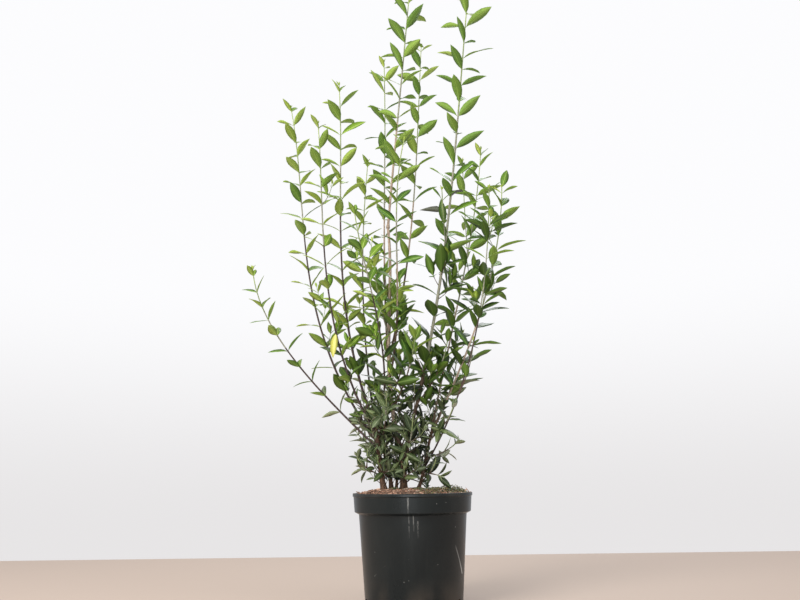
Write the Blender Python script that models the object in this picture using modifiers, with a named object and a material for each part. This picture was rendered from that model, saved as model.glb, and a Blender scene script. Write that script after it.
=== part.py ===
"""A potted atrovirens privet: five stems in an eleven litre nursery pot, with long upright leafy shoots.

Run with: blender --background --python part.py
Metres, +Z up. The origin is the centre of the flat underside of the pot, and -Y is the front.
"""

import math
import random
from collections import namedtuple

import bmesh
import bpy
from mathutils import Matrix, Vector
from mathutils.bvhtree import BVHTree

MM = 0.001
GAP = 0.3 * MM  # clearance between pieces that touch

# Pot: a thin walled plastic tub with a deep collar under a small lip
POT_HEIGHT = 245 * MM
LIP_RADIUS = 140 * MM
LIP_HEIGHT = 7 * MM
COLLAR_TOP_RADIUS = 138 * MM
COLLAR_FOOT_RADIUS = 135.5 * MM
COLLAR_HEIGHT = 42 * MM
COLLAR_FOOT = POT_HEIGHT - COLLAR_HEIGHT
WALL_TOP_RADIUS = 125.5 * MM
WALL_FOOT_RADIUS = 111 * MM
WALL_TOP = COLLAR_FOOT - 5 * MM
WALL = 2.2 * MM
FLOOR = 3 * MM
LIP_ROUND = 1 * MM
FOOT_ROUND = 2 * MM
POT_SIDES = 32
DRAIN_HOLES = 8
DRAIN_DEPTH = 12 * MM
DRAIN_WIDTH = 12 * MM
DRAIN_SILL = 4 * MM
DRAIN_TOP = 17 * MM
DRAIN_TURN = math.radians(-27)
CRISP_ANGLE = math.radians(32)

# Compost: filled to the brim, a little heaped and flat where the stems stand
COMPOST_EDGE = 238 * MM
COMPOST_SHOULDER = 246 * MM
COMPOST_TOP = 250 * MM
COMPOST_FLAT_RADIUS = 88 * MM
COMPOST_SHOULDER_RADIUS = 118 * MM
COMPOST_EASE = 0.55 * MM  # keeps it a gap from the wall, also on the slope under the collar
SOIL_LEVEL = COMPOST_TOP + GAP

# Limbs: how their curves, root flare and facets are drawn
CURVE_STEPS = 48
BACK_KICK = 0.55
BACK_LEAN = 0.9
FLARE = 0.45
FLARE_REACH = 14 * MM
STEM_SIDES = 8
BOUGH_SIDES = 6
TWIG_SIDES = 3
STEM_SPACES = 5
RING_EVERY = 75 * MM
FEWEST_SPACES = 3
WHOLE_TAPER = 0.62
TWIG_TIP_RADIUS = 1.15 * MM
SIDE_RADIUS = 1.3 * MM

# Leaves: opposite pairs, each pair turned a quarter from the last, upper side inwards and up
LEAF_HALF_WIDTH = 0.18
LEAF_WIDEST = 0.46
LEAF_KEEL = -0.020
LEAF_CROWN = 0.014
LEAF_DROOP = -0.012
LEAF_ROOT = 0.008
LEAF_SIZES = (0.86, 1.08)
LIGHT = Vector((0.15, -0.85, 0.45)).normalized()
LIT_TURN = 0.12
FIRST_PAIR = math.radians(-25)
QUARTER = math.radians(90)
PAIR_SEAT = 0.6
INTERNODE_EASE = 0.86  # pairs stand closer towards a tip
SPREAD_LOW = math.radians(47)
SPREAD_HIGH = math.radians(57)
LOW_AT = 380 * MM
HIGH_AT = 1150 * MM
TIP_PAIRS = ((0.62, 0.70), (0.88, 0.85), (1.0, 0.95))  # size and spread of the last pairs
BLADE_CLEAR = 0.8 * MM
BLADE_FROM = 0.2
TRIES = 3

# How far chance turns a shoot's pairs, each pair, each leaf and each new try, in radians
OWN_TURN = 0.10
PAIR_STRAY = 0.16
LEAF_STRAY = 0.10
TRY_STRAY = 0.35
SPREAD_STRAY = 0.11
ROLL_STRAY = 0.30
SPACING_STRAY = 0.12  # of the distance between pairs
SEED = "privet"

# Side twigs: where they stand on their main twig, how far they reach and which way
SIDE_FIRST = 0.30
SIDE_SPAN = 0.45
SIDE_REACH = 0.75
SIDE_REACH_FALL = 0.40
SIDE_OUT = 0.75
SIDE_ALONG = 0.35
SIDE_UP = 0.25
SIDE_TURN_STRAY = 0.7
SIDE_REACHES = (0.8, 1.1)
SIDE_SPACING = 1.25
SIDE_LEAF = 0.9
SIDE_BOW = (0.45, 0.8)
SPRAY_BOW = (0.6, 0.9)
SIDE_SHOOT_BOW = (0.4, 0.9)

# Bare length before the first pair of leaves
BARE_SHOOT = 12 * MM
BARE_SIDE = 14 * MM
BARE_SIDE_SHOOT = 20 * MM

Stem = namedtuple("Stem", "name x y tip kick lean radius end")
Shoot = namedtuple("Shoot", "name parent fork tip kick lean radius bare spacing leaf side_shoots")
Spray = namedtuple("Spray", "name parent fork tip radius spacing leaf side_twigs")

# Stems in millimetres: place at the compost, tip, side bow low and high, radius low and high
STEMS = (
    Stem("stem_left", -66, -6, (-84, -6, 396), 0.55, 0.65, 6.4, 5.4),
    Stem("stem_left_inner", -50, 12, (-70, 12, 434), 0.0, 1.7, 4.6, 3.8),
    Stem("stem_small", -38, 26, (-26, 30, 349), 0.05, 0.7, 3.2, 2.6),
    Stem("stem_centre", -20, 0, (-21, 0, 332), 0.5, 0.5, 7.4, 6.6),
    Stem("stem_right", 13, -2, (54, 0, 396), 0.5, 0.5, 3.8, 3.2),
)

# Long shoots: what they fork from and how high, tip, side bow low and high, radius at the foot,
# bare length, distance between pairs of leaves, leaf length, and their own side shoots, each with
# its fork, tip, distance between pairs and leaf length
SHOOTS = (
    Shoot("left_tall", "stem_left", 396, (-181, 30, 1320), 1.3, 0.8, 3.4, 70, 50, 70, ()),
    Shoot("far_left", "stem_left", 346, (-387, -30, 786), 0.5, 0.95, 2.7, 70, 43, 51, ()),
    Shoot("left_outer", "stem_left", 360, (-318, 70, 1278), 0.95, 0.75, 3.0, 90, 50, 65, ()),
    Shoot("left_inner", "stem_left", 366, (-113, 200, 1168), 1.5, 1.7, 2.7, 80, 52, 60, ()),
    Shoot("left_second", "stem_left", 376, (-215, -140, 1122), 1.1, 0.85, 2.8, 80, 50, 62, ()),
    Shoot("left_front", "stem_left_inner", 434, (-122, -200, 876), -0.6, 0.65, 2.5, 40, 44, 56, ()),
    Shoot("leader", "stem_centre", 332, (-51, 0, 900), 2.0, 0.4, 5.4, 600, 42, 66, ()),
    Shoot("right_tall", "stem_centre", 326, (176, -50, 1576), 0.65, 0.75, 4.6, 170, 46, 74,
          ((847, (83, -130, 948), 44, 62),)),
    Shoot("crown_top", "leader", 900, (17, 0, 1607), 0.3, 0.7, 3.2, 0, 46, 72, ()),
    Shoot("centre_left", "leader", 535, (-61, 120, 1444), 2.5, 0.2, 2.8, 70, 52, 66, ()),
    Shoot("centre_front", "leader", 511, (-6, -140, 1075), 1.05, 0.0, 2.6, 60, 48, 62, ()),
    Shoot("centre_back", "leader", 560, (49, 200, 1537), 0.75, 0.8, 2.8, 230, 52, 67, ()),
    Shoot("right_outer", "stem_right", 396, (244, 0, 1003), 0.55, 0.95, 2.8, 60, 42, 68, ()),
    Shoot("right_second", "stem_right", 366, (207, 120, 1165), 0.35, 0.85, 2.6, 70, 46, 66,
          ((854, (160, 190, 1158), 48, 62),)),
    Shoot("right_whip", "stem_right", 300, (197, -120, 955), 0.8, 0.95, 2.1, 330, 42, 60, ()),
)

# Short leafy side growth low on the plant: what it forks from and how high, tip, radius,
# distance between pairs of leaves, leaf length, number of side twigs
SPRAYS = (
    Spray("low_left", "stem_left", 284, (-130, -14, 330), 1.7, 28, 54, 2),
    Spray("low_left_back", "stem_left", 326, (-96, 70, 405), 1.7, 30, 54, 1),
    Spray("low_left_front", "stem_left_inner", 276, (-78, -70, 318), 1.7, 28, 54, 2),
    Spray("low_inner_front", "stem_left_inner", 366, (-56, -72, 470), 1.7, 29, 56, 2),
    Spray("low_middle", "stem_small", 349, (4, 66, 474), 1.9, 30, 56, 2),
    Spray("low_back", "stem_small", 300, (-52, 96, 370), 1.7, 28, 52, 1),
    Spray("low_front", "stem_centre", 266, (-18, -76, 304), 1.8, 26, 52, 2),
    Spray("low_centre_front", "stem_centre", 304, (4, -74, 414), 1.8, 27, 56, 2),
    Spray("low_centre_right", "stem_centre", 264, (24, 44, 318), 1.7, 28, 52, 2),
    Spray("low_right_front", "stem_right", 268, (54, -74, 318), 1.7, 27, 54, 2),
    Spray("low_right", "stem_right", 322, (112, 26, 366), 1.7, 28, 54, 1),
    Spray("low_right_up", "stem_right", 366, (100, -66, 446), 1.7, 29, 56, 2),
    Spray("mid_back", "leader", 468, (-8, 104, 640), 1.9, 36, 60, 1),
    Spray("mid_front", "leader", 440, (14, -90, 610), 2.0, 34, 70, 2),
    Spray("mid_right", "right_tall", 452, (92, -30, 606), 1.9, 33, 64, 1),
    Spray("mid_right_back", "right_outer", 436, (122, 84, 600), 1.8, 32, 60, 1),
    Spray("whip_side", "right_whip", 470, (150, -66, 590), 1.4, 31, 54, 0),
    Spray("upper_front", "leader", 622, (-84, -66, 790), 1.9, 36, 70, 1),
)

POT_COLOUR = (0.030, 0.034, 0.034, 1)
POT_ROUGHNESS = 0.4
COMPOST_COLOUR = (0.16, 0.075, 0.040, 1)
COMPOST_ROUGHNESS = 0.95
STEM_COLOUR = (0.120, 0.062, 0.034, 1)
BOUGH_COLOUR = (0.190, 0.125, 0.080, 1)
BARK_ROUGHNESS = 0.8
LEAF_LOW_COLOUR = (0.035, 0.075, 0.020, 1)
LEAF_HIGH_COLOUR = (0.150, 0.300, 0.030, 1)
LEAF_ROUGHNESS = 0.45
COLOUR_FROM = 0.6  # how far up its main twig a mass takes its colour


def clear_scene():
    for thing in list(bpy.data.objects):
        bpy.data.objects.remove(thing, do_unlink=True)


def material(name, colour, roughness):
    made = bpy.data.materials.new(name)
    made.use_nodes = True
    shader = made.node_tree.nodes["Principled BSDF"]
    shader.inputs["Base Color"].default_value = colour
    shader.inputs["Roughness"].default_value = roughness
    return made


def place(thing, finish):
    """Puts a finished piece in the part, under the plant's empty, with its own material."""
    PARTS.objects.link(thing)
    thing.parent = PLANT
    thing.data.materials.clear()
    thing.data.materials.append(finish)
    return thing


def with_modifiers(thing):
    """Applies what is on the object, so its mesh is the finished shape."""
    linked = thing.name in PARTS.objects
    if not linked:
        PARTS.objects.link(thing)
    bpy.context.view_layer.update()
    graph = bpy.context.evaluated_depsgraph_get()
    mesh = bpy.data.meshes.new_from_object(thing.evaluated_get(graph))
    mesh.name = thing.name
    thing.modifiers.clear()
    thing.data = mesh
    if not linked:
        PARTS.objects.unlink(thing)


def hide_helper(thing):
    thing.hide_render = True
    thing.display_type = "WIRE"
    CUTTERS.objects.link(thing)


# Pot and compost


def turned(name, profile):
    """A solid of revolution: the profile runs from the axis up inside and down the outer side."""
    mesh = bpy.data.meshes.new(name)
    line = bmesh.new()
    points = [line.verts.new((radius, 0, height)) for radius, height in profile]
    for first, second in zip(points, points[1:]):
        line.edges.new((first, second))
    line.to_mesh(mesh)
    line.free()
    solid = bpy.data.objects.new(name, mesh)
    screw = solid.modifiers.new("turn", "SCREW")
    screw.steps = screw.render_steps = POT_SIDES
    screw.use_merge_vertices = True
    screw.merge_threshold = 0.1 * MM
    screw.use_smooth_shade = False
    return solid


def shade_round(thing):
    """Smooth shading on the round faces, with the lips and corners kept crisp."""
    with_modifiers(thing)
    thing.data.shade_smooth()
    thing.data.set_sharp_from_angle(angle=CRISP_ANGLE)


def wall_radius(height):
    """Outer radius of the tapering wall below the collar."""
    return WALL_FOOT_RADIUS + (WALL_TOP_RADIUS - WALL_FOOT_RADIUS) * height / WALL_TOP


def collar_radius(height):
    """Outer radius of the collar."""
    share = (height - COLLAR_FOOT) / COLLAR_HEIGHT
    return COLLAR_FOOT_RADIUS + (COLLAR_TOP_RADIUS - COLLAR_FOOT_RADIUS) * share


def make_pot():
    profile = (
        (0, FLOOR),
        (wall_radius(FLOOR) - WALL, FLOOR),
        (WALL_TOP_RADIUS - WALL, WALL_TOP),
        (COLLAR_FOOT_RADIUS - WALL, COLLAR_FOOT + WALL),
        (COLLAR_TOP_RADIUS - WALL, POT_HEIGHT),
        (LIP_RADIUS - LIP_ROUND, POT_HEIGHT),
        (LIP_RADIUS, POT_HEIGHT - LIP_ROUND),
        (LIP_RADIUS, POT_HEIGHT - LIP_HEIGHT),
        (COLLAR_TOP_RADIUS, POT_HEIGHT - LIP_HEIGHT - LIP_ROUND),
        (COLLAR_FOOT_RADIUS, COLLAR_FOOT),
        (WALL_TOP_RADIUS, WALL_TOP),
        (WALL_FOOT_RADIUS, FOOT_ROUND),
        (WALL_FOOT_RADIUS - FOOT_ROUND, 0),
        (0, 0),
    )
    pot = turned("pot", profile)
    for number in range(DRAIN_HOLES):
        cutter = drain_hole(number)
        hide_helper(cutter)
        cut = pot.modifiers.new(cutter.name, "BOOLEAN")
        cut.operation = "DIFFERENCE"
        cut.object = cutter
    shade_round(pot)
    return pot


def drain_hole(number):
    """Cutter for one of the slots that run up the wall from just above the base."""
    turn = DRAIN_TURN + number * math.tau / DRAIN_HOLES
    hole = bmesh.new()
    size = Matrix.Diagonal((DRAIN_DEPTH, DRAIN_WIDTH, DRAIN_TOP - DRAIN_SILL, 1))
    bmesh.ops.create_cube(hole, size=1, matrix=size)
    mesh = bpy.data.meshes.new(f"drain_hole_{number}")
    hole.to_mesh(mesh)
    hole.free()
    cutter = bpy.data.objects.new(mesh.name, mesh)
    middle = (DRAIN_TOP + DRAIN_SILL) / 2
    cutter.location = (WALL_FOOT_RADIUS * math.cos(turn), WALL_FOOT_RADIUS * math.sin(turn), middle)
    cutter.rotation_euler.z = turn
    return cutter


def make_compost():
    inside = WALL + COMPOST_EASE
    profile = (
        (0, COMPOST_TOP),
        (COMPOST_FLAT_RADIUS, COMPOST_TOP),
        (COMPOST_SHOULDER_RADIUS, COMPOST_SHOULDER),
        (collar_radius(COMPOST_EDGE) - inside, COMPOST_EDGE),
        (COLLAR_FOOT_RADIUS - inside, COLLAR_FOOT + WALL),
        (WALL_TOP_RADIUS - inside, WALL_TOP),
        (wall_radius(FLOOR) - inside, FLOOR + GAP),
        (0, FLOOR + GAP),
    )
    compost = turned("compost", profile)
    shade_round(compost)
    return compost


# Limbs


class Run:
    """The centre line of a limb with its radius, measured along its length."""

    def __init__(self, name, foot, tip, bow, radius, end, flare=0.0):
        kick, lean = bow
        across, back, rise = tip - foot
        low = foot + Vector((across * kick, back * BACK_KICK, rise / 3))
        high = foot + Vector((across * lean, back * BACK_LEAN, rise * 2 / 3))
        self.name = name
        self.radius_low, self.radius_high, self.flare = radius, end, flare
        self.points = []
        for step in range(CURVE_STEPS + 1):
            t = step / CURVE_STEPS
            s = 1 - t
            self.points.append(foot * s**3 + low * 3 * s * s * t + high * 3 * s * t * t + tip * t**3)
        self.along = [0.0]
        for first, second in zip(self.points, self.points[1:]):
            self.along.append(self.along[-1] + (second - first).length)
        self.length = self.along[-1]
        self.solid_to = self.length
        self.every = RING_EVERY
        self.rings = []

    def step_at(self, distance):
        distance = min(max(distance, 0.0), self.length)
        step = next((i for i in range(CURVE_STEPS) if self.along[i + 1] >= distance), CURVE_STEPS - 1)
        share = (distance - self.along[step]) / (self.along[step + 1] - self.along[step])
        return step, share

    def point(self, distance):
        step, share = self.step_at(distance)
        on_line = self.points[step].lerp(self.points[step + 1], share)
        beyond = distance - min(max(distance, 0.0), self.length)
        return on_line + self.heading(distance) * beyond

    def heading(self, distance):
        step, _ = self.step_at(distance)
        return (self.points[step + 1] - self.points[step]).normalized()

    def axis_point(self, distance):
        """The middle of the faceted tube, which cuts the corner of the curve between two rings."""
        for low, high in zip(self.rings, self.rings[1:]):
            if distance <= high:
                share = (distance - low) / (high - low)
                return self.point(low).lerp(self.point(high), share)
        return self.point(distance)

    def radius(self, distance):
        share = min(max(distance / self.length, 0), 1)
        plain = self.radius_low + (self.radius_high - self.radius_low) * share
        return plain * (1 + self.flare * math.exp(-distance / FLARE_REACH))

    def distance_at_height(self, height):
        """How far along the limb it first passes this height."""
        for step in range(CURVE_STEPS):
            low, high = self.points[step].z, self.points[step + 1].z
            if low <= height <= high:
                share = (height - low) / (high - low)
                return self.along[step] + share * (self.along[step + 1] - self.along[step])
        return self.length


def round_profile(sides):
    """The curve whose outline a limb's tube takes: unit radius, with this many sides."""
    curve = bpy.data.curves.new(f"profile_{sides}", "CURVE")
    spline = curve.splines.new("POLY")
    spline.points.add(sides - 1)
    for number in range(sides):
        turn = -math.tau * number / sides
        spline.points[number].co = (math.cos(turn), math.sin(turn), 0, 1)
    spline.use_cyclic_u = True
    profile = bpy.data.objects.new(curve.name, curve)
    hide_helper(profile)
    return profile


def tube(name, run, start, stop, sides, fatter=0.0):
    """A limb as a closed mesh: a curve with a radius at each point, made a mesh with welded caps."""
    spaces = max(FEWEST_SPACES, round((stop - start) / run.every))
    run.rings = [start + (stop - start) * number / spaces for number in range(spaces + 1)]
    curve = bpy.data.curves.new(name, "CURVE")
    curve.dimensions = "3D"
    curve.bevel_mode = "OBJECT"
    curve.bevel_object = PROFILES[sides]
    curve.use_fill_caps = True
    spline = curve.splines.new("POLY")
    spline.points.add(spaces)
    for point, distance in zip(spline.points, run.rings):
        point.co = (*run.point(distance), 1)
        point.radius = run.radius(distance) + fatter
    guide = bpy.data.objects.new(name, curve)
    CUTTERS.objects.link(guide)
    graph = bpy.context.evaluated_depsgraph_get()
    mesh = bpy.data.meshes.new_from_object(guide.evaluated_get(graph))
    bpy.data.objects.remove(guide, do_unlink=True)
    bpy.data.curves.remove(curve)
    welded = bmesh.new()
    welded.from_mesh(mesh)
    bmesh.ops.remove_doubles(welded, verts=welded.verts, dist=0.001 * MM)
    welded.to_mesh(mesh)
    welded.free()
    mesh.name = name
    return bpy.data.objects.new(name, mesh)


def fat_limb(run):
    """Cutter a gap wider than a limb, also past its tip, that keeps what forks from it clear."""
    sides = STEM_SIDES if run.flare else BOUGH_SIDES
    wider = GAP / math.cos(math.pi / sides)
    cutter = tube(f"around_{run.name}", run, -GAP, run.solid_to + GAP, sides, fatter=wider)
    hide_helper(cutter)
    return cutter


def cut_clear(thing, runs):
    """Cuts the object back from these limbs, a gap away from their surface."""
    for run in runs:
        if run.name not in FAT_LIMBS:
            FAT_LIMBS[run.name] = fat_limb(run)
        cut = thing.modifiers.new(f"clear of {run.name}", "BOOLEAN")
        cut.operation = "DIFFERENCE"
        cut.object = FAT_LIMBS[run.name]
    with_modifiers(thing)


def level_foot(solid):
    """The stem's foot is a flat cut level with the compost, however the stem leans."""
    for vertex in solid.data.vertices:
        if vertex.co.z < SOIL_LEVEL + FLARE_REACH / 4:
            vertex.co.z = SOIL_LEVEL


def add_stems():
    for stem in STEMS:
        foot = Vector((stem.x * MM, stem.y * MM, SOIL_LEVEL))
        tip = Vector(stem.tip) * MM
        bow = (stem.kick, stem.lean)
        run = Run(stem.name, foot, tip, bow, stem.radius * MM, stem.end * MM, FLARE)
        run.every = run.length / STEM_SPACES
        solid = tube(stem.name, run, 0, run.length, STEM_SIDES)
        level_foot(solid)
        RUNS[stem.name] = run
        PLACED.append(solid_of(stem.name, solid))
        place(solid, material(stem.name, STEM_COLOUR, BARK_ROUGHNESS))


def fork_of(growth):
    """The limb that a shoot or spray grows from, and the point on its centre line."""
    parent = RUNS[growth.parent]
    return parent, parent.point(parent.distance_at_height(growth.fork * MM))


def add_boughs():
    """The bare, woody foot of each long shoot, up to where its leaves begin."""
    made = []
    for shoot in SHOOTS:
        parent, foot = fork_of(shoot)
        tip = Vector(shoot.tip) * MM
        whole = shoot.bare * MM > (tip - foot).length
        end = shoot.radius * MM * WHOLE_TAPER if whole else TWIG_TIP_RADIUS
        run = Run(shoot.name, foot, tip, (shoot.kick, shoot.lean), shoot.radius * MM, end)
        RUNS[shoot.name] = run
        run.solid_to = min(shoot.bare * MM, run.length)
        if not shoot.bare:
            continue
        node = f"bough_{shoot.name}"
        solid = tube(node, run, 0, run.solid_to, BOUGH_SIDES)
        siblings = [RUNS[other.name] for other in made if other.parent == shoot.parent]
        cut_clear(solid, [parent, *siblings])
        largest_body(solid)
        made.append(shoot)
        PLACED.append(solid_of(node, solid))
        place(solid, material(node, BOUGH_COLOUR, BARK_ROUGHNESS))


# Leaves


def leaf_blank():
    """One leaf of unit length along +Y, face up: a lance with a keel under it and a blunt root."""
    mesh = bpy.data.meshes.new("leaf_blank")
    leaf = bmesh.new()
    corners = (
        (0, 1, LEAF_DROOP),
        (LEAF_HALF_WIDTH, LEAF_WIDEST, LEAF_CROWN),
        (-LEAF_HALF_WIDTH, LEAF_WIDEST, LEAF_CROWN),
        (0, LEAF_WIDEST, LEAF_KEEL),
        (0, 0, LEAF_ROOT),
        (0, 0, -LEAF_ROOT),
    )
    for corner in corners:
        leaf.verts.new(corner)
    bmesh.ops.convex_hull(leaf, input=leaf.verts)
    leaf.to_mesh(mesh)
    leaf.free()
    return mesh


def leaf_frame(root, heading, azimuth, spread, roll, length):
    """Where a leaf sits: its length leaves the twig at this spread, its face turned to the light."""
    right = Vector((1, 0, 0))
    right = (right - heading * right.dot(heading)).normalized()
    outward = right * math.cos(azimuth) + heading.cross(right) * math.sin(azimuth)
    along = heading * math.cos(spread) + outward * math.sin(spread)
    grown = (heading - along * heading.dot(along)).normalized()
    lit = (LIGHT - along * LIGHT.dot(along)).normalized()
    face = grown * (1 - LIT_TURN) + lit * LIT_TURN
    face = (face - along * face.dot(along)).normalized()
    face = face * math.cos(roll) + along.cross(face) * math.sin(roll)
    turned_to = Matrix((along.cross(face), along, face)).transposed().to_4x4()
    return Matrix.Translation(root) @ turned_to @ Matrix.Scale(length, 4)


def height_share(height):
    """0 low in the plant, 1 in its crown: what a leaf's spread and a mass's colour go by."""
    return min(max((height - LOW_AT) / (HIGH_AT - LOW_AT), 0), 1)


def leaf_pairs(run, first, spacing, leaf, chance):
    """The leaves of one twig by rule: for each, the frames to try in turn."""
    count = max(2, int((run.length - first) / spacing))
    phase = chance.choice((0, 1))
    own_turn = chance.gauss(0, OWN_TURN)
    for number in range(count):
        from_tip = count - 1 - number
        size, closing = TIP_PAIRS[from_tip] if from_tip < len(TIP_PAIRS) else (1.0, 1.0)
        distance = first + (run.length - first) * ((number + PAIR_SEAT) / count) ** INTERNODE_EASE
        distance += spacing * chance.uniform(-SPACING_STRAY, SPACING_STRAY)
        pair_turn = FIRST_PAIR + own_turn - QUARTER * ((number + phase) % 2) + chance.gauss(0, PAIR_STRAY)
        root = run.axis_point(distance)
        heading = run.heading(distance)
        spread_here = SPREAD_LOW + (SPREAD_HIGH - SPREAD_LOW) * height_share(root.z)
        for side in (0, math.pi):
            length = leaf * size * chance.uniform(*LEAF_SIZES)
            frames = []
            for attempt in range(TRIES):
                azimuth = pair_turn + side + chance.gauss(0, LEAF_STRAY + TRY_STRAY * attempt)
                spread = spread_here * closing + chance.gauss(0, SPREAD_STRAY)
                roll = chance.gauss(0, ROLL_STRAY)
                frames.append(leaf_frame(root, heading, azimuth, spread, roll, length))
            yield frames


# Foliage: each mass is one twig with its side twigs and leaves, fused into one solid


class Solid:
    """What is already in the plant, kept for touching tests: a node's name, its box and its faces."""

    def __init__(self, node, shape):
        self.node = node
        points = [vertex.co for vertex in shape.verts]
        self.low = [min(point[axis] for point in points) for axis in range(3)]
        self.high = [max(point[axis] for point in points) for axis in range(3)]
        self.tree = BVHTree.FromBMesh(shape)

    def near(self, other):
        return all(
            self.low[axis] <= other.high[axis] and other.low[axis] <= self.high[axis] for axis in range(3)
        )

    def touches(self, others):
        return any(self.near(other) and self.tree.overlap(other.tree) for other in others)


def solid_of(node, thing):
    shape = bmesh.new()
    shape.from_mesh(thing.data)
    bmesh.ops.transform(shape, matrix=thing.matrix_basis, verts=shape.verts)
    solid = Solid(node, shape)
    shape.free()
    return solid


def blade_hull(frame):
    """The leaf from a fifth of its length on, a clearance larger all round, to test for touching."""
    grow = BLADE_CLEAR / frame.to_scale().x
    corners = (
        (0, 1 + grow, LEAF_DROOP),
        (LEAF_HALF_WIDTH + grow, LEAF_WIDEST, LEAF_CROWN),
        (-LEAF_HALF_WIDTH - grow, LEAF_WIDEST, LEAF_CROWN),
        (0, LEAF_WIDEST, LEAF_KEEL - grow),
        (0, LEAF_WIDEST, LEAF_CROWN + grow),
        (0, BLADE_FROM, 0),
    )
    hull = bmesh.new()
    for corner in corners:
        hull.verts.new(frame @ Vector(corner))
    bmesh.ops.convex_hull(hull, input=hull.verts)
    solid = Solid(None, hull)
    hull.free()
    return solid


def leaf_with_room(node, frames, strangers):
    """The first of the frames whose leaf touches nothing, as an object, or None."""
    for frame in frames:
        if blade_hull(frame).touches(PLACED):
            continue
        leaf = bpy.data.objects.new("leaf", LEAF_BLANK)
        leaf.matrix_basis = frame
        whole = solid_of(node, leaf)
        if not whole.touches(strangers):
            PLACED.append(whole)
            return leaf
        bpy.data.objects.remove(leaf, do_unlink=True)
    return None


def grow_foliage(node, main, start, twigs):
    """One mass: its twigs and the leaves that find room, joined by one union into one solid."""
    strangers = list(PLACED)
    pieces = bpy.data.collections.new(f"pieces of {node}")
    bpy.context.scene.collection.children.link(pieces)
    base = tube(node, main, start, main.length, TWIG_SIDES)
    PLACED.append(solid_of(node, base))
    kept = []
    for twig in twigs:
        run = twig[0]
        if run is not main:
            side = tube(run.name, run, 0, run.length, TWIG_SIDES)
            solid = solid_of(node, side)
            if solid.touches(strangers):
                continue
            pieces.objects.link(side)
            PLACED.append(solid)
        kept.append(twig)
    for twig in kept:
        for frames in leaf_pairs(*twig):
            leaf = leaf_with_room(node, frames, strangers)
            if leaf:
                pieces.objects.link(leaf)
                LEAVES_ON.append(node)
    join = base.modifiers.new("join twigs and leaves", "BOOLEAN")
    join.operation = "UNION"
    join.operand_type = "COLLECTION"
    join.collection = pieces
    with_modifiers(base)
    for piece in list(pieces.objects):
        bpy.data.objects.remove(piece, do_unlink=True)
    bpy.data.collections.remove(pieces)
    return base


def largest_body(thing):
    """Keeps the outer shell: drops a loose scrap, and a hollow that fusing sealed is filled."""
    shape = bmesh.new()
    shape.from_mesh(thing.data)
    unseen = set(shape.verts)
    bodies = []
    while unseen:
        body, front = set(), [unseen.pop()]
        while front:
            vertex = front.pop()
            body.add(vertex)
            for edge in vertex.link_edges:
                other = edge.other_vert(vertex)
                if other in unseen:
                    unseen.remove(other)
                    front.append(other)
        bodies.append(body)
    bodies.sort(key=len)
    for body in bodies[:-1]:
        bmesh.ops.delete(shape, geom=list(body), context="VERTS")
    shape.to_mesh(thing.data)
    shape.free()


def leaf_colour(height):
    share = height_share(height)
    return [low + (high - low) * share for low, high in zip(LEAF_LOW_COLOUR, LEAF_HIGH_COLOUR)]


def add_foliage(name, main, start, twigs, clear_of=()):
    node = f"foliage_{name}"
    mass = grow_foliage(node, main, start, twigs)
    if clear_of:
        cut_clear(mass, clear_of)
    largest_body(mass)
    colour = leaf_colour(main.point(main.length * COLOUR_FROM).z)
    place(mass, material(node, colour, LEAF_ROUGHNESS))


def side_twigs(spray, main, chance):
    """Side twigs of a spray by rule: up and out to alternate sides, shorter towards the tip."""
    turn = chance.uniform(0, math.tau)
    for number in range(spray.side_twigs):
        share = SIDE_FIRST + SIDE_SPAN * number / spray.side_twigs
        distance = main.length * share
        heading = main.heading(distance)
        right = Vector((1, 0, 0))
        right = (right - heading * right.dot(heading)).normalized()
        outward = right * math.cos(turn) + heading.cross(right) * math.sin(turn)
        reach = main.length * (SIDE_REACH - SIDE_REACH_FALL * share) * chance.uniform(*SIDE_REACHES)
        foot = main.point(distance)
        way = outward * SIDE_OUT + heading * SIDE_ALONG + Vector((0, 0, SIDE_UP))
        run = Run(f"{spray.name}_{number}", foot, foot + way * reach, SIDE_BOW, SIDE_RADIUS, TWIG_TIP_RADIUS)
        yield run, BARE_SIDE, spray.spacing * MM * SIDE_SPACING, spray.leaf * MM * SIDE_LEAF, chance
        turn += math.pi + chance.uniform(-SIDE_TURN_STRAY, SIDE_TURN_STRAY)


def add_foliage_of_shoots():
    for shoot in SHOOTS:
        run = RUNS[shoot.name]
        if run.solid_to >= run.length:
            continue
        chance = random.Random(f"{SEED} {shoot.name}")
        twigs = [(run, run.solid_to + BARE_SHOOT, shoot.spacing * MM, shoot.leaf * MM, chance)]
        for number, (fork, tip, spacing, leaf) in enumerate(shoot.side_shoots):
            foot = run.point(run.distance_at_height(fork * MM))
            name = f"{shoot.name}_side_{number}"
            side = Run(name, foot, Vector(tip) * MM, SIDE_SHOOT_BOW, SIDE_RADIUS, TWIG_TIP_RADIUS)
            twigs.append((side, BARE_SIDE_SHOOT, spacing * MM, leaf * MM, chance))
        if shoot.bare:
            add_foliage(shoot.name, run, run.solid_to + GAP, twigs)
        else:
            add_foliage(shoot.name, run, 0, twigs, (RUNS[shoot.parent],))


def add_foliage_of_sprays():
    for spray in SPRAYS:
        parent, foot = fork_of(spray)
        run = Run(spray.name, foot, Vector(spray.tip) * MM, SPRAY_BOW, spray.radius * MM, TWIG_TIP_RADIUS)
        chance = random.Random(f"{SEED} {spray.name}")
        first = parent.radius_low + BARE_SIDE
        twigs = [(run, first, spray.spacing * MM, spray.leaf * MM, chance)]
        twigs.extend(side_twigs(spray, run, chance))
        add_foliage(spray.name, run, 0, twigs, (parent,))


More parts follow.
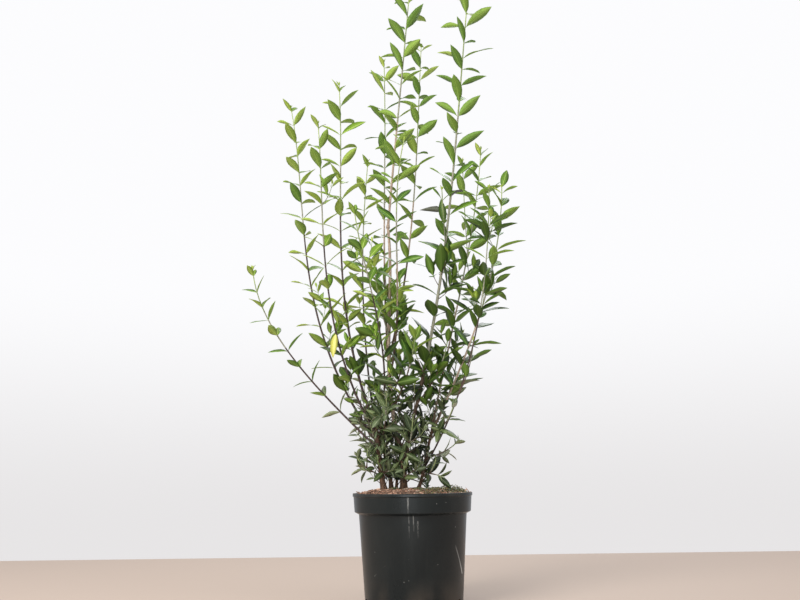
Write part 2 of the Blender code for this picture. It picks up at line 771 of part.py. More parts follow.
clear_scene()
PARTS = bpy.data.collections.new("potted privet")
CUTTERS = bpy.data.collections.new("cutters")
bpy.context.scene.collection.children.link(PARTS)
bpy.context.scene.collection.children.link(CUTTERS)
PLANT = bpy.data.objects.new("privet", None)
PARTS.objects.link(PLANT)
PROFILES = {sides: round_profile(sides) for sides in (STEM_SIDES, BOUGH_SIDES, TWIG_SIDES)}
LEAF_BLANK = leaf_blank()
RUNS = {}
FAT_LIMBS = {}
PLACED = []
LEAVES_ON = []

pot = place(make_pot(), material("pot", POT_COLOUR, POT_ROUGHNESS))
compost = place(make_compost(), material("compost", COMPOST_COLOUR, COMPOST_ROUGHNESS))
PLACED.append(solid_of("pot", pot))
PLACED.append(solid_of("compost", compost))
add_stems()
add_boughs()
add_foliage_of_shoots()
add_foliage_of_sprays()
print(len(LEAVES_ON), "leaves")
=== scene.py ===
import math
import random

import bmesh
import bpy
from mathutils import Matrix, Vector, kdtree, noise


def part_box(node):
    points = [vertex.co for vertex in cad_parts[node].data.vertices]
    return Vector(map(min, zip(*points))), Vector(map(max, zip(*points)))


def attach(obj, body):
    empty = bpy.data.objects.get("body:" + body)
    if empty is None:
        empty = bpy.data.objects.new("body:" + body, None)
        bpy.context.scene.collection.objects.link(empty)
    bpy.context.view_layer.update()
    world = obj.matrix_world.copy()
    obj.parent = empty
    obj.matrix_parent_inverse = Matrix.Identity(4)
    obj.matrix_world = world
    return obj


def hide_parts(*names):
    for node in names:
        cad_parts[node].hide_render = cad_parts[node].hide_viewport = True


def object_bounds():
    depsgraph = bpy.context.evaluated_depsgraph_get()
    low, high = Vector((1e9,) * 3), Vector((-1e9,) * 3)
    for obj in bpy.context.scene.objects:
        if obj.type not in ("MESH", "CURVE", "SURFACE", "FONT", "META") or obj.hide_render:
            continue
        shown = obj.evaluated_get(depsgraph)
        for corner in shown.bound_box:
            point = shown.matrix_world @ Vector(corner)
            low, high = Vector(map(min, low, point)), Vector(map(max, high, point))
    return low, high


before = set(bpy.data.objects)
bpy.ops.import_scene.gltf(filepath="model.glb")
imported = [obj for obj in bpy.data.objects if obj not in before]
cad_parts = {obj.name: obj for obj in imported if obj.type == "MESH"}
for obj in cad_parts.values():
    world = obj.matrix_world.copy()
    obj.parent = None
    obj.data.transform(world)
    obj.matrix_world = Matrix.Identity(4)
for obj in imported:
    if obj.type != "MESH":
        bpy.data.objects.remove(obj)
solid_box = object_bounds()
MM = 0.001


# Room: a plain pale floor that ends a metre behind the pot, a white backdrop that greys a little
# towards the floor, one large soft lamp high on the left and weaker ones on the right and behind.
# The camera stands low and looks up a little, so the crown shows the undersides of its leaves.

EYE = Vector((0, -1.8, 0.282))
LEVEL = math.radians(90)
LOOK_UP = math.radians(13.38)
PAN = math.radians(0.725)
CAMERA_ROLL = math.radians(-0.8)
LENS = 33.39
SENSOR = 36
FLOOR_SIZE = (3.4, 2.1)
FLOOR_COLOUR = (0.54, 0.43, 0.36, 1)
BACKDROP_LOW = (0.800, 0.785, 0.790, 1)
BACKDROP_HIGH = (0.975, 0.975, 0.990, 1)
BACKDROP_EASE = (-0.06, 0.25)
ROOM_LIGHT = (0.96, 0.97, 1.0, 1)
ROOM_STRENGTH = 0.66
# Lamps: name, place, size, power and colour, each aimed at the middle of the plant
LAMPS = (
    ("lamp_left", (-1.9, -2.1, 2.4), 1.7, 92, (1.0, 0.98, 0.93)),
    ("lamp_right", (2.2, -1.4, 1.7), 1.4, 9, (0.98, 0.98, 1.0)),
    ("lamp_low", (-0.3, -2.4, 0.25), 1.2, 15, (0.96, 0.98, 1.0)),
    ("lamp_behind", (0.6, 1.9, 2.4), 1.6, 28, (0.95, 0.98, 1.0)),
)
AIM = Vector((0, 0, 0.8))

scene = bpy.context.scene
scene.view_settings.view_transform = "Standard"
camera_data = bpy.data.cameras.new("camera")
camera_data.lens = LENS
camera_data.sensor_width = SENSOR
camera = bpy.data.objects.new("camera", camera_data)
camera.matrix_world = (
    Matrix.Translation(EYE)
    @ Matrix.Rotation(PAN, 4, "Z")
    @ Matrix.Rotation(LEVEL + LOOK_UP, 4, "X")
    @ Matrix.Rotation(CAMERA_ROLL, 4, "Z")
)
scene.collection.objects.link(camera)
scene.camera = camera

for lamp_name, place, size, power, warmth in LAMPS:
    lamp_data = bpy.data.lights.new(lamp_name, "AREA")
    lamp_data.size = size
    lamp_data.energy = power
    lamp_data.color = warmth
    lamp = bpy.data.objects.new(lamp_name, lamp_data)
    lamp.location = place
    lamp.rotation_euler = (AIM - Vector(place)).to_track_quat("-Z", "Y").to_euler()
    scene.collection.objects.link(lamp)


def feed(tree, socket, value):
    """Links an output into a socket, or sets the socket to a plain value."""
    if isinstance(value, bpy.types.NodeSocket):
        tree.links.new(value, socket)
    else:
        socket.default_value = value


def add_node(tree, kind, inputs=(), **settings):
    """A shader node with its settings and what goes into its inputs."""
    node = tree.nodes.new("ShaderNode" + kind)
    for key, value in settings.items():
        setattr(node, key, value)
    for key, value in dict(inputs).items():
        feed(tree, node.inputs[key], value)
    return node


def ramp(tree, source, low, high):
    """0 below low, 1 above high, eased between."""
    inputs = {"Value": source, "From Min": low, "From Max": high}
    return add_node(tree, "MapRange", inputs, interpolation_type="SMOOTHSTEP").outputs["Result"]


def mixed(tree, share, first, second):
    """One colour laid over another by a share."""
    return add_node(tree, "Mix", {0: share, 6: first, 7: second}, data_type="RGBA").outputs[2]


room = bpy.data.worlds.new("room")
room.use_nodes = True
tree = room.node_tree
light = tree.nodes["Background"]
light.inputs["Color"].default_value = ROOM_LIGHT
light.inputs["Strength"].default_value = ROOM_STRENGTH
way = add_node(tree, "TexCoord").outputs["Generated"]
rise = add_node(tree, "SeparateXYZ", {0: way}).outputs["Z"]
paper = mixed(tree, ramp(tree, rise, *BACKDROP_EASE), BACKDROP_LOW, BACKDROP_HIGH)
backdrop = add_node(tree, "Background", {"Color": paper})
seen = add_node(tree, "LightPath").outputs["Is Camera Ray"]
both = add_node(tree, "MixShader", {0: seen, 1: light.outputs[0], 2: backdrop.outputs[0]})
feed(tree, tree.nodes["World Output"].inputs["Surface"], both.outputs[0])
scene.world = room


def finished(name, shape):
    """The mesh of a finished shape."""
    mesh = bpy.data.meshes.new(name)
    shape.to_mesh(mesh)
    shape.free()
    return mesh


def new_piece(name, shape, finishes, smooth=True):
    """Makes a finished shape an object at the origin, with its materials."""
    if smooth:
        for face in shape.faces:
            face.smooth = True
    piece = bpy.data.objects.new(name, finished(name, shape))
    scene.collection.objects.link(piece)
    for finish in finishes:
        piece.data.materials.append(finish)
    return piece


def plain_finish(name, colour, roughness, gloss=0.5):
    """A new material, its nodes and its shader."""
    finish = bpy.data.materials.new(name)
    finish.use_nodes = True
    shader = finish.node_tree.nodes["Principled BSDF"]
    for label, value in (("Base Color", colour), ("Roughness", roughness), ("Specular IOR Level", gloss)):
        shader.inputs[label].default_value = value
    return finish, finish.node_tree, shader


floor_shape = bmesh.new()
to_size = Matrix.Diagonal((*FLOOR_SIZE, 1, 1))
bmesh.ops.create_grid(floor_shape, x_segments=1, y_segments=1, size=0.5, matrix=to_size)
floor = new_piece("floor", floor_shape, [plain_finish("pale_floor", FLOOR_COLOUR, 0.7)[0]])


# Pot: a nursery container blown from dark recycled plastic in one piece, with a small lip, a deep
# collar that stiffens it, a tapering wall and arched drain slots just above the base. It has been
# handled: pale scuffs on the collar and wall, one long scratch at the right, dust near the foot.
# The long scratch's pale line is partly a painted highlight, light caught along the scratch.

pot_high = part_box("pot")[1]
POT_HEIGHT = pot_high.z
LIP_RADIUS = pot_high.x
LIP_FOOT = POT_HEIGHT - 7 * MM
COLLAR_TOP_RADIUS = LIP_RADIUS - 2 * MM
COLLAR_FOOT_RADIUS = LIP_RADIUS - 4.5 * MM
COLLAR_HEIGHT = 42 * MM
COLLAR_FOOT = POT_HEIGHT - COLLAR_HEIGHT
WALL_TOP_RADIUS = LIP_RADIUS - 14.5 * MM
WALL_FOOT_RADIUS = LIP_RADIUS - 29 * MM
WALL_TOP = COLLAR_FOOT - 5 * MM
WALL = 2.2 * MM
POT_FLOOR = 3 * MM
POT_TURNS = 128
CORNER_STEPS = 4
DRAIN_HOLES = 8
DRAIN_WIDTH = 12 * MM
DRAIN_DEPTH = 12 * MM
DRAIN_SILL = 4 * MM
DRAIN_TOP = 17 * MM
DRAIN_CORNER = 4.5 * MM
DRAIN_TURN = math.radians(-27)
CRISP_ANGLE = math.radians(35)
POT_WALL_COLOUR = (0.0070, 0.0106, 0.0118, 1)
POT_COLLAR_COLOUR = (0.0066, 0.0110, 0.0122, 1)
POT_CLOUD_COLOUR = (0.0140, 0.0178, 0.0182, 1)
POT_GLOSS = 0.30
BARE_ROUGH = 0.22
CLOUD_ROUGH = 0.16
DUST_ROUGH = 0.5
SCUFF_ROUGH = 0.3
# Pale colour of the scuffs, and of the painted highlight along the long scratch at the right
SCUFF_AND_HIGHLIGHT_COLOUR = (0.50, 0.50, 0.48, 1)
DUST_COLOUR = (0.15, 0.115, 0.085, 1)
DUST = 0.30
DUST_BELOW = 75 * MM
LIP_DUST = (232 * MM, 240 * MM)
LIP_DUST_SHARE = 0.35
# Noise over the plastic: scale, stretch and detail
CLOUDS = (16, (1, 1, 0.6), 5)
STREAKS = (90, (1, 1, 0.03), 3)
GRAIN = (700, (1, 1, 1), 2)
RIPPLE = (14, (1, 1, 0.25), 1)
GRIT = (900, (1, 1, 0.15), 2)
CLOUD_SHARE = 0.55
STREAK_SHARE = 0.35
# Specks: scale, which cells have one and its soft edge
SPECKS = (95, (0.93, 0.96), (0.05, 0.11))
SPECK_SHARE = 0.6
SPECK_COLOUR = (0.42, 0.42, 0.40, 1)


def between(low, high, share):
    """The value this share of the way from low to high."""
    return low + (high - low) * share


def share_of(value, low, high):
    """How far a value is on the way from low to high, within 0 and 1."""
    return min(max((value - low) / (high - low), 0), 1)


def wall_radius(height):
    """Outer radius of the tapering wall."""
    return between(WALL_FOOT_RADIUS, WALL_TOP_RADIUS, height / WALL_TOP)


def collar_radius(height):
    return between(COLLAR_FOOT_RADIUS, COLLAR_TOP_RADIUS, (height - COLLAR_FOOT) / COLLAR_HEIGHT)


def around(radius, turn, height=0):
    """A point that far from an upright axis, at that turn about it."""
    return (radius * math.cos(turn), radius * math.sin(turn), height)


def rounded(corners):
    """The outline through these corners, each turned with its own rounding."""
    line = []
    for number, (radius, height, turn) in enumerate(corners):
        corner = Vector((radius, 0, height))
        if not turn:
            line.append(corner)
            continue
        neighbours = (corners[number - 1], corners[number + 1])
        before, after = (Vector((across, 0, up)) for across, up, _ in neighbours)
        into = corner + (before - corner).normalized() * turn
        out = corner + (after - corner).normalized() * turn
        for step in range(CORNER_STEPS + 1):
            t = step / CORNER_STEPS
            line.append(into * (1 - t) ** 2 + corner * 2 * t * (1 - t) + out * t**2)
    return line


def turned(line, turns):
    """A shape turned on the pot's axis from an outline."""
    shape = bmesh.new()
    points = [shape.verts.new(point) for point in line]
    edges = [shape.edges.new(pair) for pair in zip(points, points[1:])]
    bmesh.ops.spin(
        shape, geom=points + edges, axis=(0, 0, 1), steps=turns, angle=math.tau, use_merge=True
    )
    bmesh.ops.remove_doubles(shape, verts=shape.verts, dist=0.01 * MM)
    bmesh.ops.recalc_face_normals(shape, faces=shape.faces)
    return shape


def join(shape, mesh):
    """Joins a mesh into a shape and drops the mesh."""
    shape.from_mesh(mesh)
    bpy.data.meshes.remove(mesh)


pot_outline = rounded((
    (0, POT_FLOOR, 0),
    (wall_radius(POT_FLOOR) - WALL, POT_FLOOR, 1.5 * MM),
    (WALL_TOP_RADIUS - WALL, WALL_TOP, 1.5 * MM),
    (COLLAR_FOOT_RADIUS - WALL, COLLAR_FOOT + WALL, 1.5 * MM),
    (COLLAR_TOP_RADIUS - WALL, POT_HEIGHT, 0.8 * MM),
    (LIP_RADIUS, POT_HEIGHT, 1.5 * MM),
    (LIP_RADIUS, LIP_FOOT, 1.0 * MM),
    (COLLAR_TOP_RADIUS, LIP_FOOT - 1 * MM, 0.6 * MM),
    (COLLAR_FOOT_RADIUS, COLLAR_FOOT, 1.6 * MM),
    (WALL_TOP_RADIUS, WALL_TOP, 1.2 * MM),
    (WALL_FOOT_RADIUS, 0, 2 * MM),
    (0, 0, 0),
))
pot_shape = turned(pot_outline, POT_TURNS)

slots_shape = bmesh.new()
for number in range(DRAIN_HOLES):
    one = bmesh.new()
    bmesh.ops.create_cube(one, size=1)
    bmesh.ops.scale(one, vec=(DRAIN_DEPTH, DRAIN_WIDTH, DRAIN_TOP - DRAIN_SILL), verts=one.verts)
    through = [edge for edge in one.edges if abs(edge.verts[0].co.x - edge.verts[1].co.x) > MM]
    bmesh.ops.bevel(
        one, geom=through, offset=DRAIN_CORNER, affect="EDGES", segments=5, profile=0.5, material=-1
    )
    turn = Matrix.Rotation(DRAIN_TURN + number * math.tau / DRAIN_HOLES, 4, "Z")
    out = Matrix.Translation((WALL_FOOT_RADIUS, 0, (DRAIN_TOP + DRAIN_SILL) / 2))
    bmesh.ops.transform(one, matrix=turn @ out, verts=one.verts)
    join(slots_shape, finished("drain_slot", one))


def shader_group(name, inputs, outputs):
    """An empty shader node group with these sockets, what comes into it and what goes out."""
    group = bpy.data.node_groups.new(name, "ShaderNodeTree")
    for label, kind, value in inputs:
        socket = group.interface.new_socket(name=label, in_out="INPUT", socket_type="NodeSocket" + kind)
        socket.default_value = value
    for label, kind in outputs:
        group.interface.new_socket(name=label, in_out="OUTPUT", socket_type="NodeSocket" + kind)
    return group, group.nodes.new("NodeGroupInput").outputs, group.nodes.new("NodeGroupOutput").inputs


def sums(tree, operation, *values, clamp=False):
    """A Math node over sockets or plain numbers."""
    return add_node(tree, "Math", enumerate(values), operation=operation, use_clamp=clamp).outputs[0]


def plus(tree, first, second):
    return sums(tree, "ADD", first, second)


def less(tree, first, second):
    return sums(tree, "SUBTRACT", first, second)


def times(tree, first, *others, clamp=False):
    for other in others:
        first = sums(tree, "MULTIPLY", first, other, clamp=clamp)
    return first


def vector_sums(tree, operation, first, second):
    """The outputs of a Vector Math node: a vector, then a number."""
    return add_node(tree, "VectorMath", {0: first, 1: second}, operation=operation).outputs


def object_point(tree):
    return add_node(tree, "TexCoord").outputs["Object"]


def stretched_noise(tree, point, scale, stretch=(1, 1, 1), detail=3.0):
    """Noise, drawn out along an axis where its stretch is under one."""
    mapping = add_node(tree, "Mapping", {"Scale": stretch, "Vector": point}).outputs[0]
    return add_node(tree, "TexNoise", {"Scale": scale, "Detail": detail, "Vector": mapping}).outputs["Fac"]


def dots(tree, point, scale, chosen, edge):
    """Small round dots on some cells of a pattern, each with a soft edge."""
    cells = add_node(tree, "TexVoronoi", {"Scale": scale, "Vector": point}).outputs
    tint = add_node(tree, "SeparateColor", {0: cells["Color"]}).outputs[0]
    return times(tree, less(tree, 1.0, ramp(tree, cells["Distance"], *edge)), ramp(tree, tint, *chosen))


def set_relief(tree, shader, height, strength, depth):
    """Raises the surface by a height, without changing its mesh."""
    bump = add_node(tree, "Bump", {"Strength": strength, "Distance": depth, "Height": height})
    feed(tree, shader.inputs["Normal"], bump.outputs[0])


def scratch_group():
    """A scratch or scuff along a straight line on the surface, broken up by grit and fading out."""
    sizes = (("From", "Vector", (0, 0, 0)), ("To", "Vector", (0, 0, 1)))
    sizes += (("Width", "Float", 1 * MM), ("Grit", "Float", 0.5))
    group, ends, out = shader_group("scratch", sizes, (("Mask", "Float"),))
    point = object_point(group)
    way = vector_sums(group, "SUBTRACT", ends["To"], ends["From"])[0]
    off = vector_sums(group, "SUBTRACT", point, ends["From"])[0]
    travelled = vector_sums(group, "DOT_PRODUCT", off, way)["Value"]
    squared = vector_sums(group, "DOT_PRODUCT", way, way)["Value"]
    share = sums(group, "DIVIDE", travelled, squared, clamp=True)
    along = add_node(group, "VectorMath", {0: way, "Scale": share}, operation="SCALE").outputs[0]
    nearest = vector_sums(group, "ADD", ends["From"], along)[0]
    distance = vector_sums(group, "DISTANCE", point, nearest)["Value"]
    off_line = sums(group, "DIVIDE", distance, ends["Width"])
    inside = times(group, less(group, 1.0, off_line), 1.8, clamp=True)
    fade = times(group, less(group, 1.0, share), 1.6, clamp=True)
    grit = stretched_noise(group, point, *GRIT)
    kept = ramp(group, less(group, grit, ends["Grit"]), -0.12, 0.12)
    feed(group, out["Mask"], times(group, inside, fade, kept))
    return group


SCRATCH = scratch_group()
# Scuffs and one partly painted highlight: which face, bearing from the front and height of both ends, width,
# grit and strength
SCUFFS_AND_HIGHLIGHT = (
    (collar_radius, (-4.2, 240), (-4.2, 200), 2.2, 0.44, 0.42),
    (wall_radius, (-4.0, 199), (-3.8, 150), 1.5, 0.46, 0.22),
    (wall_radius, (0.5, 200), (0.8, 164), 1.5, 0.44, 0.32),
    (wall_radius, (4.8, 186), (5.2, 150), 2.2, 0.52, 0.20),
    # The long scratch at the right: a real scratch, partly a painted highlight drawn at full strength
    (wall_radius, (68.5, 70), (50, 134), 2.4, 0.10, 1.0),
    (wall_radius, (-48, 70), (-30, 96), 1.2, 0.50, 0.25),
    (collar_radius, (31, 226), (46, 219), 1.2, 0.48, 0.22),
    (collar_radius, (160, 232), (163, 206), 2.2, 0.45, 0.40),
    (wall_radius, (150, 120), (171, 168), 1.4, 0.42, 0.45),
    (wall_radius, (-130, 88), (-118, 50), 1.5, 0.45, 0.40),
)


def on_face(radius_at, bearing, height):
    return around(radius_at(height * MM), math.radians(bearing - 90), height * MM)


def pot_plastic():
    """Dark plastic, cloudy and streaked, with dust, specks and scuffs that dull it; one long scratch is
    partly a painted highlight.
    """
    finish, tree, shader = plain_finish("pot_plastic", POT_WALL_COLOUR, BARE_ROUGH, POT_GLOSS)
    point = object_point(tree)
    height = add_node(tree, "SeparateXYZ", {0: point}).outputs["Z"]
    clouds, streaks, grain, ripple = (
        stretched_noise(tree, point, *pattern) for pattern in (CLOUDS, STREAKS, GRAIN, RIPPLE)
    )
    on_collar = ramp(tree, height, COLLAR_FOOT - 1 * MM, COLLAR_FOOT + 1 * MM)
    colour = mixed(tree, on_collar, POT_WALL_COLOUR, POT_COLLAR_COLOUR)
    cloudy = times(tree, ramp(tree, clouds, 0.42, 0.72), CLOUD_SHARE)
    colour = mixed(tree, cloudy, colour, POT_CLOUD_COLOUR)
    streaky = times(tree, ramp(tree, streaks, 0.52, 0.75), STREAK_SHARE)
    colour = mixed(tree, streaky, colour, POT_CLOUD_COLOUR)
    low_down = less(tree, 1.0, ramp(tree, height, 2 * MM, DUST_BELOW))
    under_lip = times(tree, ramp(tree, height, *LIP_DUST), LIP_DUST_SHARE)
    settled = sums(tree, "MAXIMUM", low_down, under_lip)
    dust = times(tree, settled, ramp(tree, clouds, 0.35, 0.70), DUST)
    colour = mixed(tree, dust, colour, DUST_COLOUR)
    specks = times(tree, dots(tree, point, *SPECKS), SPECK_SHARE)
    colour = mixed(tree, specks, colour, SPECK_COLOUR)
    wear_and_painted_highlight = 0.0
    # Scuffs, and the long scratch at the right whose pale line is partly a painted highlight
    for radius_at, start, end, width, grit, strength in SCUFFS_AND_HIGHLIGHT:
        ends = {"From": on_face(radius_at, *start), "To": on_face(radius_at, *end)}
        ends.update({"Width": width * MM, "Grit": grit})
        mask = add_node(tree, "Group", ends, node_tree=SCRATCH).outputs["Mask"]
        wear_and_painted_highlight = sums(tree, "MAXIMUM", wear_and_painted_highlight, times(tree, mask, strength))
    feed(tree, shader.inputs["Base Color"], mixed(tree, wear_and_painted_highlight, colour, SCUFF_AND_HIGHLIGHT_COLOUR))
    rough = BARE_ROUGH
    for mask, rise in ((clouds, CLOUD_ROUGH), (dust, DUST_ROUGH), (wear_and_painted_highlight, SCUFF_ROUGH)):
        rough = plus(tree, rough, times(tree, mask, rise))
    feed(tree, shader.inputs["Roughness"], rough)
    relief = plus(tree, times(tree, ripple, 1.6), times(tree, grain, 0.05))
    set_relief(tree, shader, less(tree, relief, times(tree, wear_and_painted_highlight, 0.12)), 0.5, 0.8 * MM)
    return finish


cutter = new_piece("drain_slots", slots_shape, [])
nursery_pot = new_piece("nursery_pot", pot_shape, [pot_plastic()])
cut = nursery_pot.modifiers.new("drain slots", "BOOLEAN")
cut.operation = "DIFFERENCE"
cut.object = cutter
bpy.context.view_layer.update()
graph = bpy.context.evaluated_depsgraph_get()
nursery_pot.data = bpy.data.meshes.new_from_object(nursery_pot.evaluated_get(graph))
nursery_pot.modifiers.clear()
bpy.data.objects.remove(cutter, do_unlink=True)
nursery_pot.data.shade_smooth()
nursery_pot.data.set_sharp_from_angle(angle=CRISP_ANGLE)
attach(nursery_pot, "root")
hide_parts("pot")


# Compost: fills the pot to the brim and is heaped a little round the stems. It is a dark, lumpy
# mix of peat and composted bark, pressed against the pot's wall.

BED_TOP = 252 * MM
BED_EDGE = 243 * MM
BED_RADIUS = LIP_RADIUS - 4.6 * MM
BED_INSIDE = WALL + 0.6 * MM
BED_FOOT = POT_FLOOR + 0.3 * MM
HEAP_FROM = 80 * MM
BED_RINGS = 34
BED_TURNS = 120
LUMP = 3.0 * MM
LUMP_AT_RIM = 0.3
LUMPS = (42, 1.0, 2.2, 4)
PEAT = ((0.060, 0.034, 0.022, 1), (0.250, 0.150, 0.102, 1))


def bed_height(x, y):
    """The compost's surface there: heaped round the stems, lower at the rim, lumpy all over."""
    share = share_of(math.hypot(x, y), HEAP_FROM, BED_RADIUS)
    eased = share * share * (3 - 2 * share)
    fineness, *roughness = LUMPS
    lumps = noise.fractal(Vector((x, y, 0)) * fineness, *roughness) * LUMP
    return between(BED_TOP, BED_EDGE, eased) + lumps * between(1, LUMP_AT_RIM, eased)


def mottled_group():
    """Two colours mottled over the surface, and the height of the same lumps."""
    colours = (("Dark", "Color", (0, 0, 0, 1)), ("Light", "Color", (1, 1, 1, 1)))
    sizes = (("Scale", "Float", 100.0), ("Stretch", "Vector", (1, 1, 1)))
    group, ends, out = shader_group("mottling", colours + sizes, (("Color", "Color"), ("Height", "Float")))
    point = add_node(group, "Mapping", {"Vector": object_point(group), "Scale": ends["Stretch"]}).outputs[0]
    inputs = {"Vector": point, "Scale": ends["Scale"], "Detail": 4.0, "Roughness": 0.6}
    lumps = add_node(group, "TexNoise", inputs).outputs["Fac"]
    feed(group, out["Color"], mixed(group, ramp(group, lumps, 0.35, 0.65), ends["Dark"], ends["Light"]))
    feed(group, out["Height"], lumps)
    return group


MOTTLING = mottled_group()


def mottle(tree, dark, light, scale, stretch):
    """The colour and height of mottling with these values."""
    inputs = {"Dark": dark, "Light": light, "Scale": scale, "Stretch": stretch}
    return add_node(tree, "Group", inputs, node_tree=MOTTLING).outputs


def mottled(name, dark, light, scale, roughness, depth, stretch=(1, 1, 1)):
    """A natural matte finish: mottled colour with its own relief."""
    finish, tree, shader = plain_finish(name, light, roughness)
    spots = mottle(tree, dark, light, scale, stretch)
    feed(tree, shader.inputs["Base Color"], spots["Color"])
    set_relief(tree, shader, spots["Height"], 0.6, depth)
    return finish


bed_outline = [Vector((BED_RADIUS * ring / BED_RINGS, 0, BED_TOP)) for ring in range(BED_RINGS + 1)]
bed_outline.append(Vector((COLLAR_FOOT_RADIUS - BED_INSIDE, 0, COLLAR_FOOT + WALL)))
bed_outline.append(Vector((WALL_TOP_RADIUS - BED_INSIDE, 0, WALL_TOP)))
bed_outline.append(Vector((wall_radius(POT_FLOOR) - BED_INSIDE, 0, BED_FOOT)))
bed_outline.append(Vector((0, 0, BED_FOOT)))
bed_shape = turned(bed_outline, BED_TURNS)
for vertex in bed_shape.verts:
    if vertex.co.z > BED_TOP - MM:
        vertex.co.z = bed_height(vertex.co.x, vertex.co.y)
bmesh.ops.recalc_face_normals(bed_shape, faces=bed_shape.faces)
bed = new_piece("compost_bed", bed_shape, [mottled("peat", *PEAT, 260, 0.95, 1.2 * MM)])
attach(bed, "root")
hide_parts("compost")


# Bark chips: pine bark broken to chips and crumbs lies over the peat, red brown on the left and
# greyer on the right, some standing on edge. One orange chip leans on the rim at the right.

# Chips and crumbs: count, sizes and how steeply they lie
STREWN = (
    (1700, (3.0 * MM, 8.5 * MM), 0.55),
    (1600, (1.0 * MM, 2.4 * MM), 0.9),
)
CHIP_SHAPES = 14
CHIP_POINTS = 10
CHIP_HALVES = (0.5, 0.32, 0.16)
CHIP_BREADTHS = (0.6, 1.1)
CHIP_SEAT = 0.10
# Chips that lean on the rim: place, lean and size
RIM_CHIPS = (
    (127, -10, 250, 0.9, 17),
    (121, -32, 249, -0.5, 14),
    (125, 14, 249, 0.3, 13),
    (-126, -6, 247, 0.4, 13),
    (-104, -66, 247, 1.2, 12),
)
RIM_CRUMBS = 90
RIM_CRUMB_BAND = (LIP_RADIUS - 3.8 * MM, LIP_RADIUS - 1.2 * MM)
RIM_CRUMB_SIZES = (1.2 * MM, 3.2 * MM)
RIM_CRUMB_RISE = 0.2 * MM
# Red, pale, dark and grey chips
CHIP_COLOURS = (
    ((0.220, 0.105, 0.068, 1), (0.540, 0.310, 0.215, 1)),
    ((0.360, 0.205, 0.138, 1), (0.740, 0.500, 0.370, 1)),
    ((0.070, 0.038, 0.025, 1), (0.210, 0.118, 0.078, 1)),
    ((0.220, 0.165, 0.120, 1), (0.520, 0.420, 0.320, 1)),
)
PALE_CHIP = 1
GREY_CHIP = 3
# How common each colour is at the left and at the right
LEFT_CHIPS = (0.55, 0.26, 0.17, 0.02)
RIGHT_CHIPS = (0.25, 0.10, 0.37, 0.28)
chance = random.Random("privet compost")


def paint(faces, number):
    for face in faces:
        face.material_index = number


def add_copy(shape, blank, matrix):
    """Joins a copy of a blank mesh into a shape, turned and placed."""
    copy = blank.copy()
    copy.transform(matrix)
    join(shape, copy)


def any_turn():
    """A chance turn about the upright axis."""
    return Matrix.Rotation(chance.uniform(0, math.tau), 4, "Z")


def chip_blank(finish):
    """One chip of about unit length: the hull of a few points thrown in a flat brick."""
    shape = bmesh.new()
    for _ in range(CHIP_POINTS):
        shape.verts.new([chance.uniform(-half, half) for half in CHIP_HALVES])
    hull = bmesh.ops.convex_hull(shape, input=shape.verts)
    spare = [item for item in hull["geom_interior"] if isinstance(item, bmesh.types.BMVert)]
    bmesh.ops.delete(shape, geom=spare, context="VERTS")
    bmesh.ops.recalc_face_normals(shape, faces=shape.faces)
    paint(shape.faces, finish)
    return finished("chip", shape)


def chip_kind(x):
    """Redder on the left, greyer on the right."""
    share = share_of(x, -BED_RADIUS, BED_RADIUS)
    weights = [between(*ends, share) for ends in zip(LEFT_CHIPS, RIGHT_CHIPS)]
    return chance.choices(range(len(CHIP_COLOURS)), weights)[0]


CHIP_FINISHES = [
    mottled(f"bark_chip_{number}", *colours, 700, 0.9, 0.5 * MM, (1, 1, 0.35))
    for number, colours in enumerate(CHIP_COLOURS)
]
CHIP_BLANKS = [[chip_blank(finish) for _ in range(CHIP_SHAPES)] for finish in range(len(CHIP_COLOURS))]
chips_shape = bmesh.new()
for count, sizes, tilt in STREWN:
    for _ in range(count):
        size = chance.uniform(*sizes) * chance.choice((1, 1, 1.5))
        turn = chance.uniform(0, math.tau)
        x, y, _ = around((BED_RADIUS - size) * math.sqrt(chance.random()), turn)
        seat = Matrix.Translation((x, y, bed_height(x, y) + size * CHIP_SEAT))
        lying = any_turn() @ Matrix.Rotation(chance.gauss(0, tilt), 4, "X")
        scaled = Matrix.Diagonal((size, size * chance.uniform(*CHIP_BREADTHS), size, 1))
        blank = CHIP_BLANKS[chip_kind(x)][chance.randrange(CHIP_SHAPES)]
        add_copy(chips_shape, blank, seat @ lying @ scaled)
for x, y, z, lean, size in RIM_CHIPS:
    seat = Matrix.Translation((x * MM, y * MM, z * MM)) @ Matrix.Rotation(lean, 4, "Y")
    add_copy(chips_shape, CHIP_BLANKS[PALE_CHIP][size % CHIP_SHAPES], seat @ Matrix.Scale(size * MM, 4))
for _ in range(RIM_CRUMBS):
    turn = chance.uniform(0, math.tau)
    seat = Matrix.Translation(around(chance.uniform(*RIM_CRUMB_BAND), turn, POT_HEIGHT + RIM_CRUMB_RISE))
    blank = CHIP_BLANKS[chance.choice(range(GREY_CHIP))][chance.randrange(CHIP_SHAPES)]
    lying = any_turn()
    add_copy(chips_shape, blank, seat @ lying @ Matrix.Scale(chance.uniform(*RIM_CRUMB_SIZES), 4))
chips = new_piece("bark_chips", chips_shape, CHIP_FINISHES, smooth=False)
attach(chips, "root")
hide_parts("compost")


# Moss and seedlings: cushions of moss have crept over the right of the compost and round the foot
# of the left stems, with a few seedlings of a small round-leaved weed between them.

